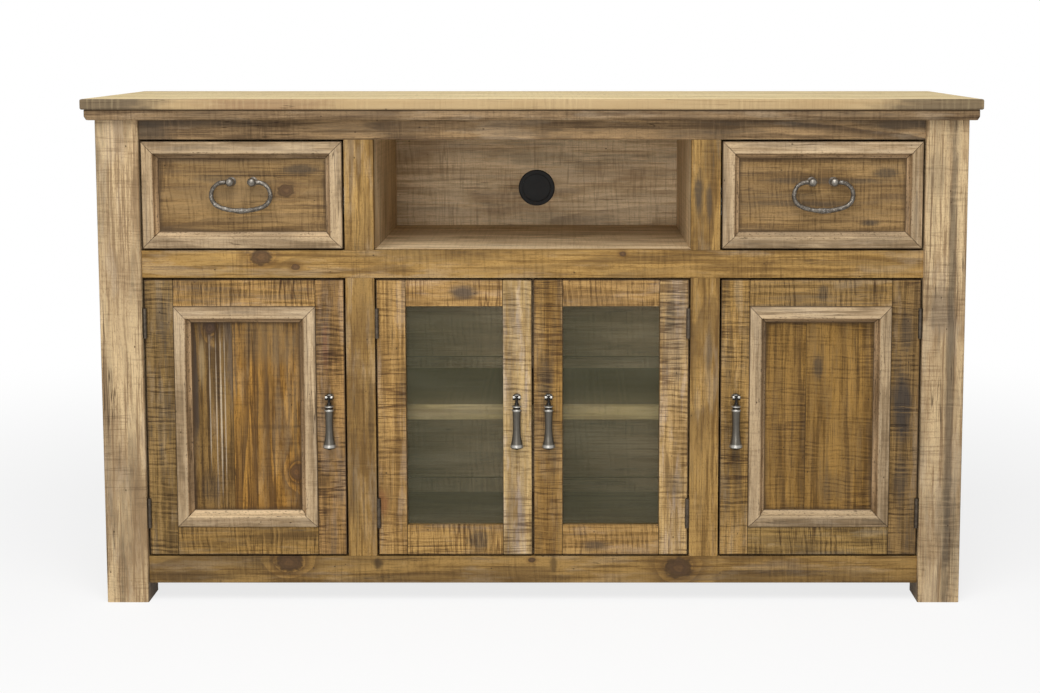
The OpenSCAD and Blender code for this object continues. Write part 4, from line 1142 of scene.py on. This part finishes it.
def place(piece, location, rotation=(0.0, 0.0, 0.0)):
    """Puts a piece in its place and turn, and then keeps both in its mesh."""
    bpy.ops.object.select_all(action="DESELECT")
    piece.select_set(True)
    bpy.context.view_layer.objects.active = piece
    piece.location = location
    piece.rotation_euler = rotation
    bpy.ops.object.transform_apply(location=True, rotation=True, scale=True)


def report(title, piece):
    """Prints a piece's size and its number of faces."""
    print(title, "size in mm:", [round(side / MM, 1) for side in piece.dimensions],
          "faces", len(piece.data.polygons))


# %% Forge the bail
bail = sweep_ring("left_forged_bail", stations, 12)
apply_modifier(bail, "SUBSURF", levels=2, render_levels=2)
dents = bpy.data.textures.new("hammer_dents", "VORONOI")
dents.noise_scale = 0.0065
apply_modifier(bail, "DISPLACE", texture=dents, texture_coords="LOCAL", strength=-0.0006, mid_level=0.0)
bpy.ops.object.shade_smooth()
report("bail", bail)

# %% Hang one bail on each drawer
bail_y = -0.2105
bail_z = 0.736
bail.data.materials.append(pewter("hammered_pewter", hammered=True, tone=(0.72, 0.66, 0.60)))
other_bail = copy_of(bail, "right_forged_bail")
for piece, sign, side in ((bail, -1, "left"), (other_bail, 1, "right")):
    place(piece, (sign * drawer_x, bail_y, bail_z))
    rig.ride(piece, side + "_bail")
    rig.replaces(piece, side + "_bail")
    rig.slot(piece, "pewter")
print("bails hung at x", -drawer_x, "and", drawer_x)

# %% [markdown]
# ## Turned drops
# Each door pull is a heavy turned drop that swings between the two prongs of a small cast clevis. It
# has two beads, a waisted shaft and a flared foot. Spinning an outline would make the shaft, but its
# top is a flat tongue. So a ring is extruded from station to station again: its two half sizes turn a
# flat bar into a round neck. The clevis is two square prongs with round noses, an oval foot and a pin.

# %% Stations down the drop, in millimetres: how far down, half as deep and half as wide
shaft_at = 25
foot_at = 86
drop_length = 92
foot_r = 11.8
waist_r = 6.2
shaft_steps = 14
tongue = [(-3.7, 1.2, 1.4), (-3.2, 2.2, 2.1), (-2.2, 2.9, 2.3),
          (0, 3.3, 2.3), (3.5, 3.1, 2.3), (6, 2.8, 2.4)]
round_top = [(8.5, 2.7), (10.2, 2.8), (10.7, 4.0), (11.4, 4.5), (12.1, 4.0), (12.5, 3.2),
             (13.4, 3.6), (13.8, 6.2), (14.3, 7.5), (15.0, 8.2), (15.6, 8.4), (16.2, 8.2),
             (16.9, 7.4), (17.4, 6.4), (19.5, 6.3), (20.0, 7.0), (20.8, 8.0), (21.6, 8.4),
             (22.4, 8.5), (23.2, 8.3), (24.0, 7.7), (24.6, 7.2)]
shaft = []
for step in range(shaft_steps + 1):
    part = step / shaft_steps
    r = waist_r + 1.1 * (1 - part) ** 3 + (foot_r - waist_r) * part ** 4
    shaft.append((shaft_at + (foot_at - shaft_at) * part, r))
foot = [(foot_at + 0.8, foot_r - 0.1), (foot_at + 1.7, foot_r - 0.8), (foot_at + 2.6, foot_r - 2.4),
        (foot_at + 3.6, 6.6), (foot_at + 5.0, 3.0), (drop_length - 0.3, 1.4), (drop_length, 0.5)]
profile = tongue + [(below, r, r) for below, r in round_top + shaft + foot]
print("stations down a drop:", len(profile))

# %% Turn the drop
drop_rows = [(0.0, -below * MM, math.pi / 2, deep * MM, wide * MM) for below, deep, wide in profile]
drop = sweep_ring("left_door_turned_drop", drop_rows, 20)
apply_modifier(drop, "SUBSURF", levels=1, render_levels=1)
bpy.ops.object.shade_smooth()
report("drop", drop)

# %% The clevis's prongs
door_face = -12.8 * MM
nose_at = -4.6 * MM
nose_r = 4.4 * MM
prong_half = 1.85 * MM
prong_at = 4.65 * MM
arm_half = 2.8 * MM
forward = (0.0, 0.0, -math.pi / 2)


def prong_rows():
    """From the door's face to the round nose, along X."""
    rows = [(door_face, 0.0, 0.0, prong_half, arm_half), (nose_at, 0.0, 0.0, prong_half, arm_half)]
    for degrees in range(48, 169, 12):
        turn = math.radians(degrees)
        rows.append((-nose_r * math.cos(turn), 0.0, 0.0, prong_half, nose_r * math.sin(turn)))
    return rows


prongs = []
for sign in (-1, 1):
    prong = sweep_ring("prong", prong_rows(), 4)
    apply_modifier(prong, "BEVEL", width=0.8 * MM, segments=3, limit_method="ANGLE",
                   angle_limit=math.radians(40))
    place(prong, (sign * prong_at, 0.0, 0.0), forward)
    prongs.append(prong)
report("prong", prongs[0])

# %% The clevis's foot and pin, and all its parts joined
oval_steps = [(0.0, 7.2, 4.9), (1.0, 7.2, 4.9), (1.7, 6.9, 4.6),
              (2.2, 6.4, 4.1), (4.6, 6.2, 3.4), (5.2, 5.4, 2.6)]
oval_rows = [(door_face + out * MM, 0.0, 0.0, wide * MM, high * MM) for out, wide, high in oval_steps]
oval = sweep_ring("oval_foot", oval_rows, 24)
place(oval, (0.0, 0.0, 0.0), forward)
pin = sweep_ring("pin", [(x * MM, 0.0, 0.0, 1.5 * MM, 1.5 * MM) for x in (-5.0, 0.0, 5.0)], 16)
bpy.ops.object.select_all(action="DESELECT")
for piece in (*prongs, oval, pin):
    piece.select_set(True)
clevis = prongs[0]
bpy.context.view_layer.objects.active = clevis
bpy.ops.object.join()
clevis.name = "left_door_clevis"
bpy.ops.object.shade_smooth_by_angle(angle=math.radians(35))
report("clevis", clevis)

# %% Finish the drops and the clevises
drop_y = -0.2123
drop_z = 0.364
# The beads and the foot's rim are worn bright and carry a painted highlight.
bead_heights = [(drop_z - 0.0154, 0.0017), (drop_z - 0.0222, 0.0024), (drop_z - 0.0842, 0.0034)]
# Painted shade round the tongue between the prongs, and patina with painted shade in the groove between the beads and
# under the foot's flare.
shade_and_patina_heights = [(drop_z - 0.0128, drop_z + 0.01), (drop_z - 0.0200, drop_z - 0.0170),
                  (drop_z - 0.0930, drop_z - 0.0872)]
drop_finish = pewter("pewter_drops", highlight_and_wear_at=bead_heights, shade_and_patina_at=shade_and_patina_heights, even=True,
                     tone=(0.68, 0.65, 0.60))
# The clevis is toned nearly black all over as painted shade, with a painted highlight band at the pivot's height.
clevis_finish = pewter("pewter_clevises", highlight_and_wear_at=[(drop_z + 0.0012, 0.0026)], even=True,
                       tone=(0.20, 0.19, 0.18))
drop.data.materials.append(drop_finish)
clevis.data.materials.append(clevis_finish)
print("materials in all:", len(bpy.data.materials))

# %% Hang a drop and a clevis on each door
pulls = [("left_door", -0.351), ("left_glass", -0.0275), ("right_glass", 0.0275), ("right_door", 0.351)]
for door, at in reversed(pulls):
    first = door == "left_door"
    hanging = drop if first else copy_of(drop, door + "_turned_drop")
    holder = clevis if first else copy_of(clevis, door + "_clevis")
    for piece in (hanging, holder):
        place(piece, (at, drop_y, drop_z))
    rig.ride(hanging, door + "_drop")
    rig.replaces(hanging, door + "_pull")
    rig.slot(hanging, "pewter")
    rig.ride(holder, door if door.endswith("door") else door + "_door")
    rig.replaces(holder, door + "_pull_post")
    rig.slot(holder, "pewter")
print("pulls hung:", [door for door, at in pulls])

# %% [markdown]
# ## Worn edges
# Hands, sanding and use have rounded every edge of the real boards a little, and such an edge catches
# a thin line of light. The drawing's boards have sharp edges. Their meshes stay as they are, and two
# modifiers do the work: Weld joins their loose triangles and Bevel rounds only the edges that turn.

# %% Round the boards' edges
well_worn = ["top_underlay", "front_posts", "rear_posts", "top_rail", "middle_rail", "bottom_rail",
             "face_stiles", "left_door_frame", "right_door_frame", "left_glass_frame",
             "right_glass_frame"]
little_worn = ["left_door_moulding", "right_door_moulding", "left_drawer_moulding",
               "right_drawer_moulding", "left_drawer_front", "right_drawer_front", "shelves",
               "niche_floor"]
for width, names in ((0.0014, well_worn), (0.0008, little_worn)):
    for name in names:
        node = frame["nodes"][name]
        weld = node.modifiers.new("joined", "WELD")
        weld.merge_threshold = 0.00001
        worn = node.modifiers.new("worn_edges", "BEVEL")
        worn.width = width
        worn.segments = 2
        worn.limit_method = "ANGLE"
        worn.angle_limit = math.radians(50)
        worn.use_clamp_overlap = True
print("boards with worn edges:", len(well_worn + little_worn))

# %% [markdown]
# ## Studio
# A plain pale floor, a wide soft light from above the camera, a softer one overhead and a plain white
# world. A colour on the front renders about as it is written. The white of the background is seen by
# the camera, in reflections and through glass only, and the floor keeps a light shadow.


# %% Floor
def seen_directly(tree):
    """1 for rays from the camera, from a mirror and through glass, and 0 for those that give light."""
    camera_ray, glossy_ray, through_ray = tree.add("ShaderNodeLightPath", output=(0, 3, 6))
    return (camera_ray + glossy_ray + through_ray).math("MINIMUM", 1.0)


bpy.ops.object.select_all(action="DESELECT")
bpy.ops.mesh.primitive_plane_add(size=14, location=(0, 0, 0))
floor = bpy.context.object
floor.name = "studio_floor"
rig.stage(floor)
paper = Finish("pale_floor")
matt = paper.add("ShaderNodeBsdfDiffuse", values={0: (0.86, 0.86, 0.86, 1)})
glow = paper.add("ShaderNodeEmission", values={0: (1, 1, 1, 1), 1: 1.0})
away = (paper.x * paper.x + paper.y * paper.y).math("SQRT")
glow_share = seen_directly(paper) * (0.78 + away.rise(0.9, 2.6) * 0.22)
paper.show(paper.add("ShaderNodeMixShader", values={0: glow_share, 1: matt, 2: glow}))
floor.data.materials.append(paper.material)
print("floor is", round(floor.dimensions.x, 2), "m wide")

# %% World
world = bpy.data.worlds.new("studio_world")
world.use_nodes = True
bpy.context.scene.world = world
sky = Nodes(world.node_tree)
lighting = sky.add("ShaderNodeBackground", values={0: (1, 1, 1, 1), 1: 0.27})
white = sky.add("ShaderNodeBackground", values={0: (1, 1, 1, 1), 1: 1.0})
sky_shader = sky.add("ShaderNodeMixShader", values={0: seen_directly(sky), 1: lighting, 2: white})
sky.add("ShaderNodeOutputWorld", values={"Surface": sky_shader}, output=None)
print("world nodes", len(world.node_tree.nodes))


# %% Lamps
def soft_light(name, location, aim, size, watts):
    """A square area light that looks at a point."""
    bpy.ops.object.select_all(action="DESELECT")
    bpy.ops.object.light_add(type="AREA", location=location)
    lamp = bpy.context.object
    lamp.name = name
    lamp.data.size = size
    lamp.data.energy = watts
    lamp.rotation_euler = (Vector(aim) - Vector(location)).to_track_quat("-Z", "Y").to_euler()
    return lamp


key = soft_light("key", (-0.6, -4.6, 1.05), (0, 0, 0.45), 1.7, 66)
overhead = soft_light("overhead", (-0.1, -1.8, 2.9), (0, 0, 0.5), 2.3, 84)
print("lamps:", [(lamp.name, lamp.data.energy) for lamp in (key, overhead)])

# %% View and close
bpy.context.scene.view_settings.view_transform = "Standard"
visual_box = [list(corner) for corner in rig.bounds()]
with open("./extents.json", "w") as out_file:
    json.dump({"cad": cad_box, "visual": visual_box}, out_file)
print("visual box", [[round(v, 4) for v in corner] for corner in visual_box])
